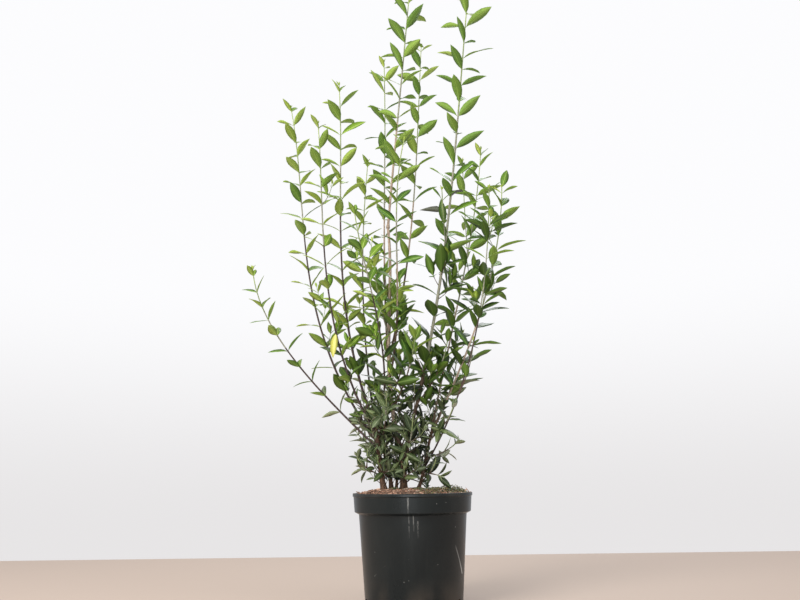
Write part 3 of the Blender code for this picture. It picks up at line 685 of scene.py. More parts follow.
# Moss cushions: place, reach and height
MOSS_PATCHES = (
    (66, -74, 30, 1.9),
    (98, -46, 27, 3.2),
    (36, -98, 26, 1.3),
    (110, 2, 18, 2.4),
    (84, -4, 24, 2.2),
    (16, -62, 15, 1.1),
    (-44, -38, 17, 1.5),
    (60, 80, 28, 0.8),
    (-80, 70, 20, 0.5),
)
MOSS_TUFTS = 190
MOSS_SIZES = (1.8, 3.4)
MOSS_SWELL = 4.5 * MM
MOSS_UNEVEN = 0.6
MOSS_FINENESS = 160
MOSS_LEAN = 0.35
MOSS_COLOURS = (
    ((0.190, 0.205, 0.060, 1), (0.500, 0.500, 0.190, 1)),
    ((0.200, 0.235, 0.170, 1), (0.500, 0.540, 0.420, 1)),
    ((0.260, 0.230, 0.110, 1), (0.560, 0.500, 0.280, 1)),
)
MOSS_FINISHES = [
    mottled(f"moss_{number}", *colours, 900, 0.85, 0.3 * MM) for number, colours in enumerate(MOSS_COLOURS)
]
# Seedlings: place and size
SEEDLINGS = (
    (33, -44, 17.0),
    (78, -88, 5.5),
    (86, -70, 7.0),
    (94, -62, 5.0),
    (104, -50, 6.5),
    (66, -98, 4.5),
    (110, -30, 5.5),
    (58, -84, 4.0),
    (-40, -52, 5.0),
    (-30, -44, 4.0),
    (50, 92, 6.0),
    (-84, 78, 5.0),
)
SEEDLING_LEVELS = 4
SEEDLING_STEP = 0.30
SEEDLING_TAPER = 0.20
# A tuft of moss and a whorl of a seedling: leaves, how steeply they rise and their width
MOSS_TUFT = (6, 1.1, 0.16)
SEEDLING_WHORL = (5, 0.9, 0.34)
LEAFLET_MIDDLE = 0.45
LEAFLET_FOLD = 0.3
LEAFLET_THICKNESS = 0.06
SEEDLING_COLOURS = ((0.022, 0.045, 0.018, 1), (0.070, 0.115, 0.048, 1))


def rosette(finish, leaves, rise, width):
    """A tuft of small pointed leaves from one point, each folded on its middle line, of unit reach."""
    shape = bmesh.new()
    for number in range(leaves):
        turn = math.tau * number / leaves + chance.uniform(-0.4, 0.4)
        out = Vector(around(1, turn))
        way = (out + Vector((0, 0, rise * chance.uniform(0.6, 1.4)))).normalized()
        up = way.cross(Vector((-out.y, out.x, 0))).normalized()
        up = -up if up.z < 0 else up
        length = chance.uniform(0.7, 1.0)
        across = way.cross(up).normalized() * width
        middle = way * length * LEAFLET_MIDDLE
        lift = up * width * LEAFLET_FOLD
        corners = (Vector(), middle + across + lift, way * length, middle - across + lift)
        shape.faces.new([shape.verts.new(corner) for corner in corners])
    paint(shape.faces, finish)
    thick = bmesh.ops.solidify(shape, geom=shape.faces, thickness=LEAFLET_THICKNESS)["geom"]
    paint([item for item in thick if isinstance(item, bmesh.types.BMFace)], finish)
    bmesh.ops.recalc_face_normals(shape, faces=shape.faces)
    return finished("rosette", shape)


MOSS_BLANKS = [rosette(finish, *MOSS_TUFT) for finish in range(len(MOSS_COLOURS)) for _ in range(3)]
moss_shape = bmesh.new()
for x, y, reach, height in MOSS_PATCHES:
    for _ in range(MOSS_TUFTS):
        turn = chance.uniform(0, math.tau)
        share = math.sqrt(chance.random())
        px = x * MM + math.cos(turn) * share * reach * MM
        py = y * MM + math.sin(turn) * share * reach * MM
        if math.hypot(px, py) > BED_RADIUS - 3 * MM:
            continue
        lumps = 0.7 + MOSS_UNEVEN * noise.noise(Vector((px, py, 0)) * MOSS_FINENESS)
        cushion = height * MOSS_SWELL * (1 - share**2) * lumps
        size = chance.uniform(*MOSS_SIZES) * MM
        seat = Matrix.Translation((px, py, bed_height(px, py) + max(cushion, 0)))
        lean = Matrix.Rotation(chance.gauss(0, MOSS_LEAN), 4, "X") @ any_turn()
        add_copy(moss_shape, chance.choice(MOSS_BLANKS), seat @ lean @ Matrix.Scale(size, 4))
moss = new_piece("moss", moss_shape, MOSS_FINISHES, smooth=False)
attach(moss, "root")
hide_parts("compost")

seedling_finish = mottled("seedling_leaf", *SEEDLING_COLOURS, 400, 0.5, 0.2 * MM)
seedling_blanks = [rosette(0, *SEEDLING_WHORL) for _ in range(4)]
seedlings_shape = bmesh.new()
for x, y, size in SEEDLINGS:
    seat = Matrix.Translation((x * MM, y * MM, bed_height(x * MM, y * MM) + 2 * MM))
    for level in range(SEEDLING_LEVELS):
        turn = any_turn()
        rise = Matrix.Translation((0, 0, size * SEEDLING_STEP * level * MM))
        scale = Matrix.Scale(size * (1 - SEEDLING_TAPER * level) * MM, 4)
        add_copy(seedlings_shape, chance.choice(seedling_blanks), seat @ rise @ turn @ scale)
seedlings = new_piece("seedlings", seedlings_shape, [seedling_finish])
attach(seedlings, "root")
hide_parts("compost")


# Stems: five woody stems rise from the compost, the oldest 15 mm thick. Their bark is red brown
# and thin, ridged lengthways, swollen at old leaf scars and dotted with pale pores. Each flares a
# little at its foot, and was pruned where its shoots fork, which left a dry cut top.

CURVE_STEPS = 48
BACK_KICK = 0.55
BACK_LEAN = 0.9
FLARE = 0.45
FLARE_REACH = 14 * MM
STEM_SPACES = 5
RING_EVERY = 75 * MM
FEWEST_SPACES = 3
SOIL_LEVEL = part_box("stem_centre")[0].z
# Stems: name, foot, top, bow and the radius at both ends
STEMS = (
    ("stem_left", (-66, -6), (-84, -6, 396), (0.55, 0.65), 6.4, 5.4),
    ("stem_left_inner", (-50, 12), (-70, 12, 434), (0.0, 1.7), 4.6, 3.8),
    ("stem_small", (-38, 26), (-26, 30, 349), (0.05, 0.7), 3.2, 2.6),
    ("stem_centre", (-20, 0), (-21, 0, 332), (0.5, 0.5), 7.4, 6.6),
    ("stem_right", (13, -2), (54, 0, 396), (0.5, 0.5), 3.8, 3.2),
)
STEM_SIDES = 28
STEM_RING = 1.8 * MM
STEM_SINK = 6 * MM
RIDGE = 0.055
KNOB = 0.060
# How fine the ridges and the knobs are, round the stem and along it
BARK_GRAINS = ((3.4, 28), (0.8, 62))
ROOT = 0.20
ROOT_REACH = FLARE_REACH * 0.6
SCAR_EVERY = 24 * MM
SCAR = 0.10
SCAR_WIDTH = 1.9 * MM
SCAR_LEAST = 0.2
SCAR_WIND = 90
BLUNT = 0.85
BLUNT_RISE = 1.5
STEM_BARK = ((0.042, 0.021, 0.012, 1), (0.170, 0.092, 0.053, 1))
PORE_COLOUR = (0.34, 0.23, 0.15, 1)
PORE_SHARE = 0.7
PORE_RISE = 0.5
# Which cells have a pore, and its soft edge
PORES = ((0.55, 0.65), (0.14, 0.30))
CUT_WOOD = ((0.16, 0.10, 0.060, 1), (0.36, 0.27, 0.17, 1))


class Run:
    """The centre line of a limb with its radius, measured along its length."""

    def __init__(self, name, foot, tip, bow, radius, end, flare=0.0):
        kick, lean = bow
        across, back, rise = tip - foot
        low = foot + Vector((across * kick, back * BACK_KICK, rise / 3))
        high = foot + Vector((across * lean, back * BACK_LEAN, rise * 2 / 3))
        self.name = name
        self.radius_low, self.radius_high, self.flare = radius, end, flare
        self.points = []
        for step in range(CURVE_STEPS + 1):
            t = step / CURVE_STEPS
            s = 1 - t
            self.points.append(foot * s**3 + low * 3 * s * s * t + high * 3 * s * t * t + tip * t**3)
        self.along = [0.0]
        for first, second in zip(self.points, self.points[1:]):
            self.along.append(self.along[-1] + (second - first).length)
        self.length = self.along[-1]
        self.solid_to = self.length
        self.set_rings()

    def step_at(self, distance):
        distance = min(max(distance, 0.0), self.length)
        step = next((i for i in range(CURVE_STEPS) if self.along[i + 1] >= distance), CURVE_STEPS - 1)
        return step, (distance - self.along[step]) / (self.along[step + 1] - self.along[step])

    def point(self, distance):
        step, share = self.step_at(distance)
        beyond = distance - min(max(distance, 0.0), self.length)
        return self.points[step].lerp(self.points[step + 1], share) + self.heading(distance) * beyond

    def heading(self, distance):
        step = self.step_at(distance)[0]
        return (self.points[step + 1] - self.points[step]).normalized()

    def soft_heading(self, distance):
        """The heading eased over the curve's steps, for a mesh that bends evenly."""
        ease = self.length / CURVE_STEPS
        return (self.point(distance + ease) - self.point(distance - ease)).normalized()

    def set_rings(self, start=0, every=RING_EVERY):
        """Where the solid's faceted tube has its rings."""
        spaces = max(FEWEST_SPACES, round((self.length - start) / every))
        self.rings = [between(start, self.length, number / spaces) for number in range(spaces + 1)]

    def axis_point(self, distance):
        """The middle of the solid's faceted tube, where its leaves are rooted."""
        for low, high in zip(self.rings, self.rings[1:]):
            if distance <= high:
                return self.point(low).lerp(self.point(high), (distance - low) / (high - low))
        return self.point(distance)

    def radius(self, distance):
        plain = between(self.radius_low, self.radius_high, share_of(distance, 0, self.length))
        return plain * (1 + self.flare * math.exp(-max(distance, 0) / FLARE_REACH))

    def distance_at_height(self, height):
        """How far along the limb it first passes this height."""
        for step in range(CURVE_STEPS):
            low, high = self.points[step].z, self.points[step + 1].z
            if low <= height <= high:
                return between(self.along[step], self.along[step + 1], share_of(height, low, high))
        return self.length


def square_to(heading):
    """Two directions square to a heading and to each other, the first towards the scene's X."""
    right = Vector((1, 0, 0))
    right = (right - heading * right.dot(heading)).normalized()
    return right, heading.cross(right)


def turned_to(x, y, z):
    """The turn that brings the three axes to these directions."""
    return Matrix((x, y, z)).transposed().to_4x4()


def ring_matrix(run, distance):
    """The plane square to a limb there."""
    heading = run.soft_heading(distance)
    return Matrix.Translation(run.point(distance)) @ turned_to(*square_to(heading), heading)


def extruded(shape, edges):
    """Draws a ring of edges out, and gives the new ring's corners and edges."""
    grown = bmesh.ops.extrude_edge_only(shape, edges=edges)["geom"]
    ring = [item for item in grown if isinstance(item, bmesh.types.BMVert)]
    edges = [item for item in grown if isinstance(item, bmesh.types.BMEdge)]
    return ring, [edge for edge in edges if edge.verts[0] in ring and edge.verts[1] in ring]


def limb_mesh(run, start, sides, every, thickness, slot_at):
    """A limb as one skin: a ring of points carried along its centre line and set to its thickness."""
    stop = run.solid_to if start < run.solid_to - MM else run.length
    shape = bmesh.new()
    place = ring_matrix(run, start)
    bmesh.ops.create_circle(shape, segments=sides, radius=1, matrix=place)
    ring, edges = list(shape.verts), list(shape.edges)
    spaces = max(FEWEST_SPACES, round((stop - start) / every))
    for number in range(spaces + 1):
        distance = between(start, stop, number / spaces)
        if number:
            ring, edges = extruded(shape, edges)
            there = ring_matrix(run, distance)
            bmesh.ops.transform(shape, matrix=there @ place.inverted(), verts=ring)
            place = there
            for vertex in ring:
                paint(vertex.link_faces, slot_at(distance))
        back = place.inverted()
        for vertex in ring:
            out = back @ vertex.co
            turn = math.atan2(out.y, out.x)
            vertex.co = place @ Vector(around(thickness(run, distance, turn), turn))
    ring, edges = extruded(shape, edges)
    home = place.translation
    rounding = run.radius(stop) * (1 - BLUNT) * BLUNT_RISE
    for vertex in ring:
        vertex.co = home + (vertex.co - home) * BLUNT + run.soft_heading(stop) * rounding
    paint(bmesh.ops.edgeloop_fill(shape, edges=edges)["faces"], slot_at(None))
    bmesh.ops.edgeloop_fill(shape, edges=[edge for edge in shape.edges if edge.is_boundary])
    bmesh.ops.recalc_face_normals(shape, faces=shape.faces)
    return finished(run.name, shape)


def old_bark(run, distance, turn):
    """Radius of a stem's bark: ridged lengthways, knobbly, swollen at scars, flared at the foot."""
    shift = run.points[0] * 900
    side = Vector(around(1, turn))
    ridges, knobs = (
        noise.noise(side * across + shift + Vector((0, 0, distance * along))) for across, along in BARK_GRAINS
    )
    off_scar = ((distance + run.points[0].y) / SCAR_EVERY + 0.5) % 1 - 0.5
    scar = math.exp(-((off_scar * SCAR_EVERY / SCAR_WIDTH) ** 2))
    scar *= max(SCAR_LEAST, math.cos(turn * 2 + distance * SCAR_WIND))
    roots = max(0.0, math.cos(turn * 4 + shift.x)) * math.exp(-max(distance, 0) / ROOT_REACH)
    return run.radius(distance) * (1 + RIDGE * ridges + KNOB * knobs + SCAR * scar + ROOT * roots)


def bark_finish(name, dark, light, scale, pores):
    """Bark: streaked lengthways, with pale raised pores."""
    finish, tree, shader = plain_finish(name, light, 0.82)
    streaks = mottle(tree, dark, light, scale, (1, 1, 0.22))
    pale = dots(tree, object_point(tree), pores, *PORES)
    colour = mixed(tree, times(tree, pale, PORE_SHARE), streaks["Color"], PORE_COLOUR)
    feed(tree, shader.inputs["Base Color"], colour)
    set_relief(tree, shader, plus(tree, streaks["Height"], times(tree, pale, PORE_RISE)), 0.7, 0.5 * MM)
    return finish


RUNS = {}
stems_shape = bmesh.new()
for name, (x, y), tip, bow, radius, end in STEMS:
    foot = Vector((x * MM, y * MM, SOIL_LEVEL))
    run = RUNS[name] = Run(name, foot, Vector(tip) * MM, bow, radius * MM, end * MM, FLARE)
    run.set_rings(0, run.length / STEM_SPACES)
    join(stems_shape, limb_mesh(run, -STEM_SINK, STEM_SIDES, STEM_RING, old_bark, lambda at: int(at is None)))
STEM_FINISHES = [
    bark_finish("stem_bark", *STEM_BARK, 420, 330),
    mottled("cut_wood", *CUT_WOOD, 900, 0.85, 0.4 * MM),
]
stems = new_piece("stems", stems_shape, STEM_FINISHES)
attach(stems, "root")
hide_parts(*RUNS)


# Boughs: the woody foot of each long shoot, from its fork on a stem up to its first leaves, with
# the leader whole up through the plant. Last year's bark is thinner and smoother, purple brown on
# the left shoots and paler tan on the leader, with a ring of scars where each pair of leaves fell.

WHOLE_TAPER = 0.62
TWIG_TIP_RADIUS = 1.15 * MM
SIDE_RADIUS = 1.3 * MM
# Long shoots: name, parent, fork's height, tip, bow, radius, bare length, distance between pairs of
# leaves, leaf's length, and side shoots with their own fork, tip, distance and leaf
SHOOTS = (
    ("left_tall", "stem_left", 396, (-181, 30, 1320), (1.3, 0.8), 3.4, 70, 50, 70, ()),
    ("far_left", "stem_left", 346, (-387, -30, 786), (0.5, 0.95), 2.7, 70, 43, 51, ()),
    ("left_outer", "stem_left", 360, (-318, 70, 1278), (0.95, 0.75), 3.0, 90, 50, 65, ()),
    ("left_inner", "stem_left", 366, (-113, 200, 1168), (1.5, 1.7), 2.7, 80, 52, 60, ()),
    ("left_second", "stem_left", 376, (-215, -140, 1122), (1.1, 0.85), 2.8, 80, 50, 62, ()),
    ("left_front", "stem_left_inner", 434, (-122, -200, 876), (-0.6, 0.65), 2.5, 40, 44, 56, ()),
    ("leader", "stem_centre", 332, (-51, 0, 900), (2.0, 0.4), 5.4, 600, 42, 66, ()),
    ("right_tall", "stem_centre", 326, (176, -50, 1576), (0.65, 0.75), 4.6, 170, 46, 74,
     ((847, (83, -130, 948), 44, 62),)),
    ("crown_top", "leader", 900, (17, 0, 1607), (0.3, 0.7), 3.2, 0, 46, 72, ()),
    ("centre_left", "leader", 535, (-61, 120, 1444), (2.5, 0.2), 2.8, 70, 52, 66, ()),
    ("centre_front", "leader", 511, (-6, -140, 1075), (1.05, 0.0), 2.6, 60, 48, 62, ()),
    ("centre_back", "leader", 560, (49, 200, 1537), (0.75, 0.8), 2.8, 230, 52, 67, ()),
    ("right_outer", "stem_right", 396, (244, 0, 1003), (0.55, 0.95), 2.8, 60, 42, 68, ()),
    ("right_second", "stem_right", 366, (207, 120, 1165), (0.35, 0.85), 2.6, 70, 46, 66,
     ((854, (160, 190, 1158), 48, 62),)),
    ("right_whip", "stem_right", 300, (197, -120, 955), (0.8, 0.95), 2.1, 330, 42, 60, ()),
)
BOUGH_SIDES = 14
BOUGH_RING = 2.4 * MM
SHOOT_SCAR = 0.16
SHOOT_SCAR_WIDTH = 1.7 * MM
COLLAR_SWELL = 0.55
COLLAR_FROM = 4 * MM
COLLAR_REACH = 5 * MM
SHOOT_RIDGE = 0.035
SHOOT_GRAIN = (2.4, 40)
FIRST_SCAR = 0.35
BARK_EDGE = 0.02
BARK_EDGE_WAVE = 170
SHOOT_BARKS = (
    ("plum_bark", (0.028, 0.017, 0.016, 1), (0.100, 0.064, 0.056, 1)),
    ("brown_bark", (0.050, 0.029, 0.019, 1), (0.160, 0.104, 0.070, 1)),
    ("tan_bark", (0.270, 0.190, 0.142, 1), (0.570, 0.440, 0.340, 1)),
    ("ash_bark", (0.190, 0.180, 0.130, 1), (0.400, 0.390, 0.295, 1)),
    ("green_bark", (0.190, 0.235, 0.095, 1), (0.350, 0.410, 0.180, 1)),
    ("tip_bark", (0.290, 0.370, 0.110, 1), (0.450, 0.520, 0.200, 1)),
)
SHOOT_FINISHES = [bark_finish(*bark, 500, 420) for bark in SHOOT_BARKS]
PLUM, BROWN, TAN, ASH, GREEN, TIP = range(len(SHOOT_BARKS))
# How far up its length a limb has each bark
LEFT_BARKS = ((0.62, PLUM), (0.78, ASH), (0.93, GREEN), (2, TIP))
RIGHT_BARKS = ((0.10, BROWN), (0.46, TAN), (0.72, ASH), (0.90, GREEN), (2, TIP))
CENTRE_BARKS = ((0.30, BROWN), (0.48, TAN), (0.70, ASH), (0.90, GREEN), (2, TIP))
LOW_BARKS = ((0.62, BROWN), (0.76, ASH), (2, GREEN))
HIGH_BARKS = ((0.4, ASH), (2, GREEN))
BARKS = {
    "leader": ((0.14, BROWN), (2, TAN)),
    "crown_top": ((0.42, TAN), (0.66, ASH), (0.88, GREEN), (2, TIP)),
    "right_whip": ((0.60, PLUM), (0.78, ASH), (2, GREEN)),
    "right_tall": ((0.18, BROWN), (0.70, ASH), (0.90, GREEN), (2, TIP)),
    "right_outer": RIGHT_BARKS,
    "right_second": RIGHT_BARKS,
    "centre_left": CENTRE_BARKS,
    "centre_front": CENTRE_BARKS,
    "centre_back": CENTRE_BARKS,
}
SPACINGS = {}


def young_bark(run, distance, turn):
    """Radius of a shoot's bark: nearly smooth, swollen at its fork and at each pair of leaves."""
    across, along = SHOOT_GRAIN
    shift = run.points[0] * 700
    ridges = noise.noise(Vector(around(1, turn)) * across + shift + Vector((0, 0, distance * along)))
    nearest = min((abs(distance - at) for at in SPACINGS[run.name]), default=1)
    swell = math.exp(-((nearest / SHOOT_SCAR_WIDTH) ** 2))
    fork = COLLAR_SWELL * math.exp(-max(distance - COLLAR_FROM, 0) / COLLAR_REACH)
    return run.radius(distance) * (1 + SHOOT_RIDGE * ridges + SHOOT_SCAR * swell + fork)


def bark_at(run, barks):
    """Which bark shows at a distance along the limb: each runs out unevenly into the next."""
    def slot(distance):
        if distance is None:
            return barks[-1][1]
        share = distance / run.length + BARK_EDGE * math.sin(distance * BARK_EDGE_WAVE)
        return next(finish for reach, finish in barks if share < reach)
    return slot


def fork_of(parent_name, fork):
    """The limb that a shoot or spray grows from, and the point on its centre line."""
    parent = RUNS[parent_name]
    return parent, parent.point(parent.distance_at_height(fork * MM))


boughs_shape = bmesh.new()
bough_names = []
for name, parent_name, fork, tip, bow, radius, bare, spacing, _, _ in SHOOTS:
    _, foot = fork_of(parent_name, fork)
    tip = Vector(tip) * MM
    end = radius * MM * WHOLE_TAPER if bare * MM > (tip - foot).length else TWIG_TIP_RADIUS
    run = RUNS[name] = Run(name, foot, tip, bow, radius * MM, end)
    run.solid_to = min(bare * MM, run.length)
    scars = int(run.solid_to / (spacing * MM))
    SPACINGS[name] = [run.solid_to - (number + FIRST_SCAR) * spacing * MM for number in range(scars)]
    if bare:
        slots = bark_at(run, BARKS.get(name, LEFT_BARKS))
        join(boughs_shape, limb_mesh(run, 0, BOUGH_SIDES, BOUGH_RING, young_bark, slots))
        bough_names.append(f"bough_{name}")
boughs = new_piece("boughs", boughs_shape, SHOOT_FINISHES)
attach(boughs, "root")
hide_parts(*bough_names)


# Leaf places: privet leaves stand in opposite pairs, each pair turned a quarter from the last, on
# the long shoots and on short sprays low in the plant. The rule draws the places as the solids'
# rule does, and a leaf grows where its mass has one.

SEED = "privet"
LEAF_SIZES = (0.86, 1.08)
LEAF_END = Vector((0, 1, 0))
SOLID_LEAF_END = Vector((0, 1, -0.012))
LIGHT = Vector((0.15, -0.85, 0.45)).normalized()
LIT_TURN = 0.12
FIRST_PAIR = math.radians(-25)
QUARTER = math.radians(90)
PAIR_SEAT = 0.6
INTERNODE_EASE = 0.86
SPREAD_LOW = math.radians(47)
SPREAD_HIGH = math.radians(57)
LOW_AT = 380 * MM
HIGH_AT = 1150 * MM
# From the tip down: the size of a pair of leaves and how far it has opened
TIP_PAIRS = ((0.62, 0.70), (0.88, 0.85), (1.0, 0.95))
TRIES = 3
OWN_TURN = 0.10
PAIR_STRAY = 0.16
LEAF_STRAY = 0.10
TRY_STRAY = 0.35
SPREAD_STRAY = 0.11
ROLL_STRAY = 0.30
SPACING_STRAY = 0.12
SIDE_FIRST = 0.30
SIDE_SPAN = 0.45
SIDE_REACH = 0.75
SIDE_REACH_FALL = 0.40
SIDE_OUT = 0.75
SIDE_ALONG = 0.35
SIDE_UP = Vector((0, 0, 0.25))
SIDE_TURN_STRAY = 0.7
SIDE_REACHES = (0.8, 1.1)
SIDE_SPACING = 1.25
SIDE_LEAF = 0.9
SIDE_BOW = (0.45, 0.8)
SPRAY_BOW = (0.6, 0.9)
SIDE_SHOOT_BOW = (0.4, 0.9)
BARE_SHOOT = 12 * MM
BARE_SIDE = 14 * MM
BARE_SIDE_SHOOT = 20 * MM
GAP = 0.3 * MM
SAME_PLACE = 0.6 * MM
TWIG_END_REACH = 2.2 * MM
# Sprays: name, parent, fork's height, tip, radius, distance between pairs, leaf and side twigs
SPRAYS = (
    ("low_left", "stem_left", 284, (-130, -14, 330), 1.7, 28, 54, 2),
    ("low_left_back", "stem_left", 326, (-96, 70, 405), 1.7, 30, 54, 1),
    ("low_left_front", "stem_left_inner", 276, (-78, -70, 318), 1.7, 28, 54, 2),
    ("low_inner_front", "stem_left_inner", 366, (-56, -72, 470), 1.7, 29, 56, 2),
    ("low_middle", "stem_small", 349, (4, 66, 474), 1.9, 30, 56, 2),
    ("low_back", "stem_small", 300, (-52, 96, 370), 1.7, 28, 52, 1),
    ("low_front", "stem_centre", 266, (-18, -76, 304), 1.8, 26, 52, 2),
    ("low_centre_front", "stem_centre", 304, (4, -74, 414), 1.8, 27, 56, 2),
    ("low_centre_right", "stem_centre", 264, (24, 44, 318), 1.7, 28, 52, 2),
    ("low_right_front", "stem_right", 268, (54, -74, 318), 1.7, 27, 54, 2),
    ("low_right", "stem_right", 322, (112, 26, 366), 1.7, 28, 54, 1),
    ("low_right_up", "stem_right", 366, (100, -66, 446), 1.7, 29, 56, 2),
    ("mid_back", "leader", 468, (-8, 104, 640), 1.9, 36, 60, 1),
    ("mid_front", "leader", 440, (14, -90, 610), 2.0, 34, 70, 2),
    ("mid_right", "right_tall", 452, (92, -30, 606), 1.9, 33, 64, 1),
    ("mid_right_back", "right_outer", 436, (122, 84, 600), 1.8, 32, 60, 1),
    ("whip_side", "right_whip", 470, (150, -66, 590), 1.4, 31, 54, 0),
    ("upper_front", "leader", 622, (-84, -66, 790), 1.9, 36, 70, 1),
)


def out_at(heading, azimuth):
    """The direction square to a heading at this turn about it."""
    right, forward = square_to(heading)
    return right * math.cos(azimuth) + forward * math.sin(azimuth)


def square_part(vector, along):
    """What is left of a direction square to another."""
    return (vector - along * vector.dot(along)).normalized()


def leaf_frame(root, heading, azimuth, spread, roll, length):
    """Where a leaf sits: its length leaves the twig at this spread, its face turned to the light."""
    along = heading * math.cos(spread) + out_at(heading, azimuth) * math.sin(spread)
    face = square_part(heading, along) * (1 - LIT_TURN) + square_part(LIGHT, along) * LIT_TURN
    face = square_part(face, along)
    face = face * math.cos(roll) + along.cross(face) * math.sin(roll)
    return Matrix.Translation(root) @ turned_to(along.cross(face), along, face) @ Matrix.Scale(length, 4)


def leaf_pairs(run, first, spacing, leaf, draw):
    """The leaves of one twig by rule: where each is along it, how far from the tip, and its tries."""
    count = max(2, int((run.length - first) / spacing))
    phase = draw.choice((0, 1))
    own_turn = draw.gauss(0, OWN_TURN)
    for number in range(count):
        from_tip = count - 1 - number
        size, closing = TIP_PAIRS[from_tip] if from_tip < len(TIP_PAIRS) else (1.0, 1.0)
        distance = between(first, run.length, ((number + PAIR_SEAT) / count) ** INTERNODE_EASE)
        distance += spacing * draw.uniform(-SPACING_STRAY, SPACING_STRAY)
        pair_turn = FIRST_PAIR + own_turn - QUARTER * ((number + phase) % 2) + draw.gauss(0, PAIR_STRAY)
        root = run.axis_point(distance)
        heading = run.heading(distance)
        spread_here = between(SPREAD_LOW, SPREAD_HIGH, share_of(root.z, LOW_AT, HIGH_AT))
        for side in (0, math.pi):
            length = leaf * size * draw.uniform(*LEAF_SIZES)
            frames = []
            for attempt in range(TRIES):
                azimuth = pair_turn + side + draw.gauss(0, LEAF_STRAY + TRY_STRAY * attempt)
                spread = spread_here * closing + draw.gauss(0, SPREAD_STRAY)
                roll = draw.gauss(0, ROLL_STRAY)
                frames.append(leaf_frame(root, heading, azimuth, spread, roll, length))
            yield distance, from_tip, frames


def side_twigs(main, count, spacing, leaf, draw):
    """Side twigs of a spray by rule: up and out to alternate sides, shorter towards the tip."""
    turn = draw.uniform(0, math.tau)
    for number in range(count):
        share = SIDE_FIRST + SIDE_SPAN * number / count
        foot = main.point(main.length * share)
        heading = main.heading(main.length * share)
        reach = main.length * (SIDE_REACH - SIDE_REACH_FALL * share) * draw.uniform(*SIDE_REACHES)
        way = out_at(heading, turn) * SIDE_OUT + heading * SIDE_ALONG + SIDE_UP
        run = Run(f"{main.name}_{number}", foot, foot + way * reach, SIDE_BOW, SIDE_RADIUS, TWIG_TIP_RADIUS)
        yield run, BARE_SIDE, spacing * SIDE_SPACING, leaf * SIDE_LEAF, draw
        turn += math.pi + draw.uniform(-SIDE_TURN_STRAY, SIDE_TURN_STRAY)


def lookup(points):
    """A tree that finds the nearest of these points."""
    tree = kdtree.KDTree(len(points))
    for number, point in enumerate(points):
        tree.insert(point, number)
    tree.balance()
    return tree


class Leaf:
    """One leaf that grows: its mass and twig, how far along, its pair's count from the tip, its place."""

    def __init__(self, mass, run, distance, from_tip, place):
        self.mass, self.run, self.distance = mass, run, distance
        self.from_tip, self.place = from_tip, place


LEAVES = []
TWIGS = []


def grow_mass(mass, main, twigs):
    """Keeps the twigs and leaves that the mass's solid has."""
    corners = lookup([vertex.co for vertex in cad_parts[f"foliage_{mass}"].data.vertices])
    for run, *rule in twigs:
        if run is not main and corners.find(run.points[-1])[2] >= TWIG_END_REACH:
            continue
        spacings = SPACINGS.setdefault(run.name, [])
        TWIGS.append((mass, run))
        for distance, from_tip, frames in leaf_pairs(run, *rule):
            seen = [place for place in frames if corners.find(place @ SOLID_LEAF_END)[2] < SAME_PLACE]
            if seen:
                shift = run.point(distance) - run.axis_point(distance)
                LEAVES.append(Leaf(mass, run, distance, from_tip, Matrix.Translation(shift) @ seen[0]))
            spacings.append(distance)


for name, _, _, _, _, _, bare, spacing, leaf, side_shoots in SHOOTS:
    run = RUNS[name]
    if run.solid_to >= run.length:
        continue
    draw = random.Random(f"{SEED} {name}")
    run.set_rings(run.solid_to + GAP if bare else 0)
    twigs = [(run, run.solid_to + BARE_SHOOT, spacing * MM, leaf * MM, draw)]
    for number, (fork, tip, side_spacing, side_leaf) in enumerate(side_shoots):
        _, foot = fork_of(name, fork)
        side_name = f"{name}_side_{number}"
        side = Run(side_name, foot, Vector(tip) * MM, SIDE_SHOOT_BOW, SIDE_RADIUS, TWIG_TIP_RADIUS)
        twigs.append((side, BARE_SIDE_SHOOT, side_spacing * MM, side_leaf * MM, draw))
    grow_mass(name, run, twigs)

for name, parent_name, fork, tip, radius, spacing, leaf, count in SPRAYS:
    parent, foot = fork_of(parent_name, fork)
    run = Run(name, foot, Vector(tip) * MM, SPRAY_BOW, radius * MM, TWIG_TIP_RADIUS)
    draw = random.Random(f"{SEED} {name}")
    twigs = [(run, parent.radius_low + BARE_SIDE, spacing * MM, leaf * MM, draw)]
    twigs.extend(side_twigs(run, count, spacing * MM, leaf * MM, draw))
    grow_mass(name, run, twigs)


# Twigs: from its woody foot each shoot runs on as a thin green twig to its soft tip, and short side
# twigs low in the plant fork in the same way. Small shoots grow from the axils of the leaves, more
# of them the lower they stand, and from the bare stems: the same rule carried one step further.

TWIG_SIDES = 9
TWIG_RING = 3.6 * MM
TWIG_OVERLAP = 1 * MM
FINE_SIDES = 6
FINE_RING = 3.2 * MM
FINE_RADIUS = 0.95 * MM
FINE_TIP = 0.6 * MM
FINE_BOW = (0.6, 0.9)
FINE_BARE = 6 * MM
FINE_BARE_SHARE = 0.4
FINE_ALONG = 0.45
FINE_ALONG_EACH = 13  # more upright, the longer it is
FINE_RISE = Vector((0, 0, 0.35))
FINE_ROOT = 1.5 * MM
FINE_TURN_STRAY = 0.3
FINE_INSIDE = 4 * MM
ROOM_SHARE = 0.24
LOW_SIZES = ((26, 62), (12, 16), (24, 40))
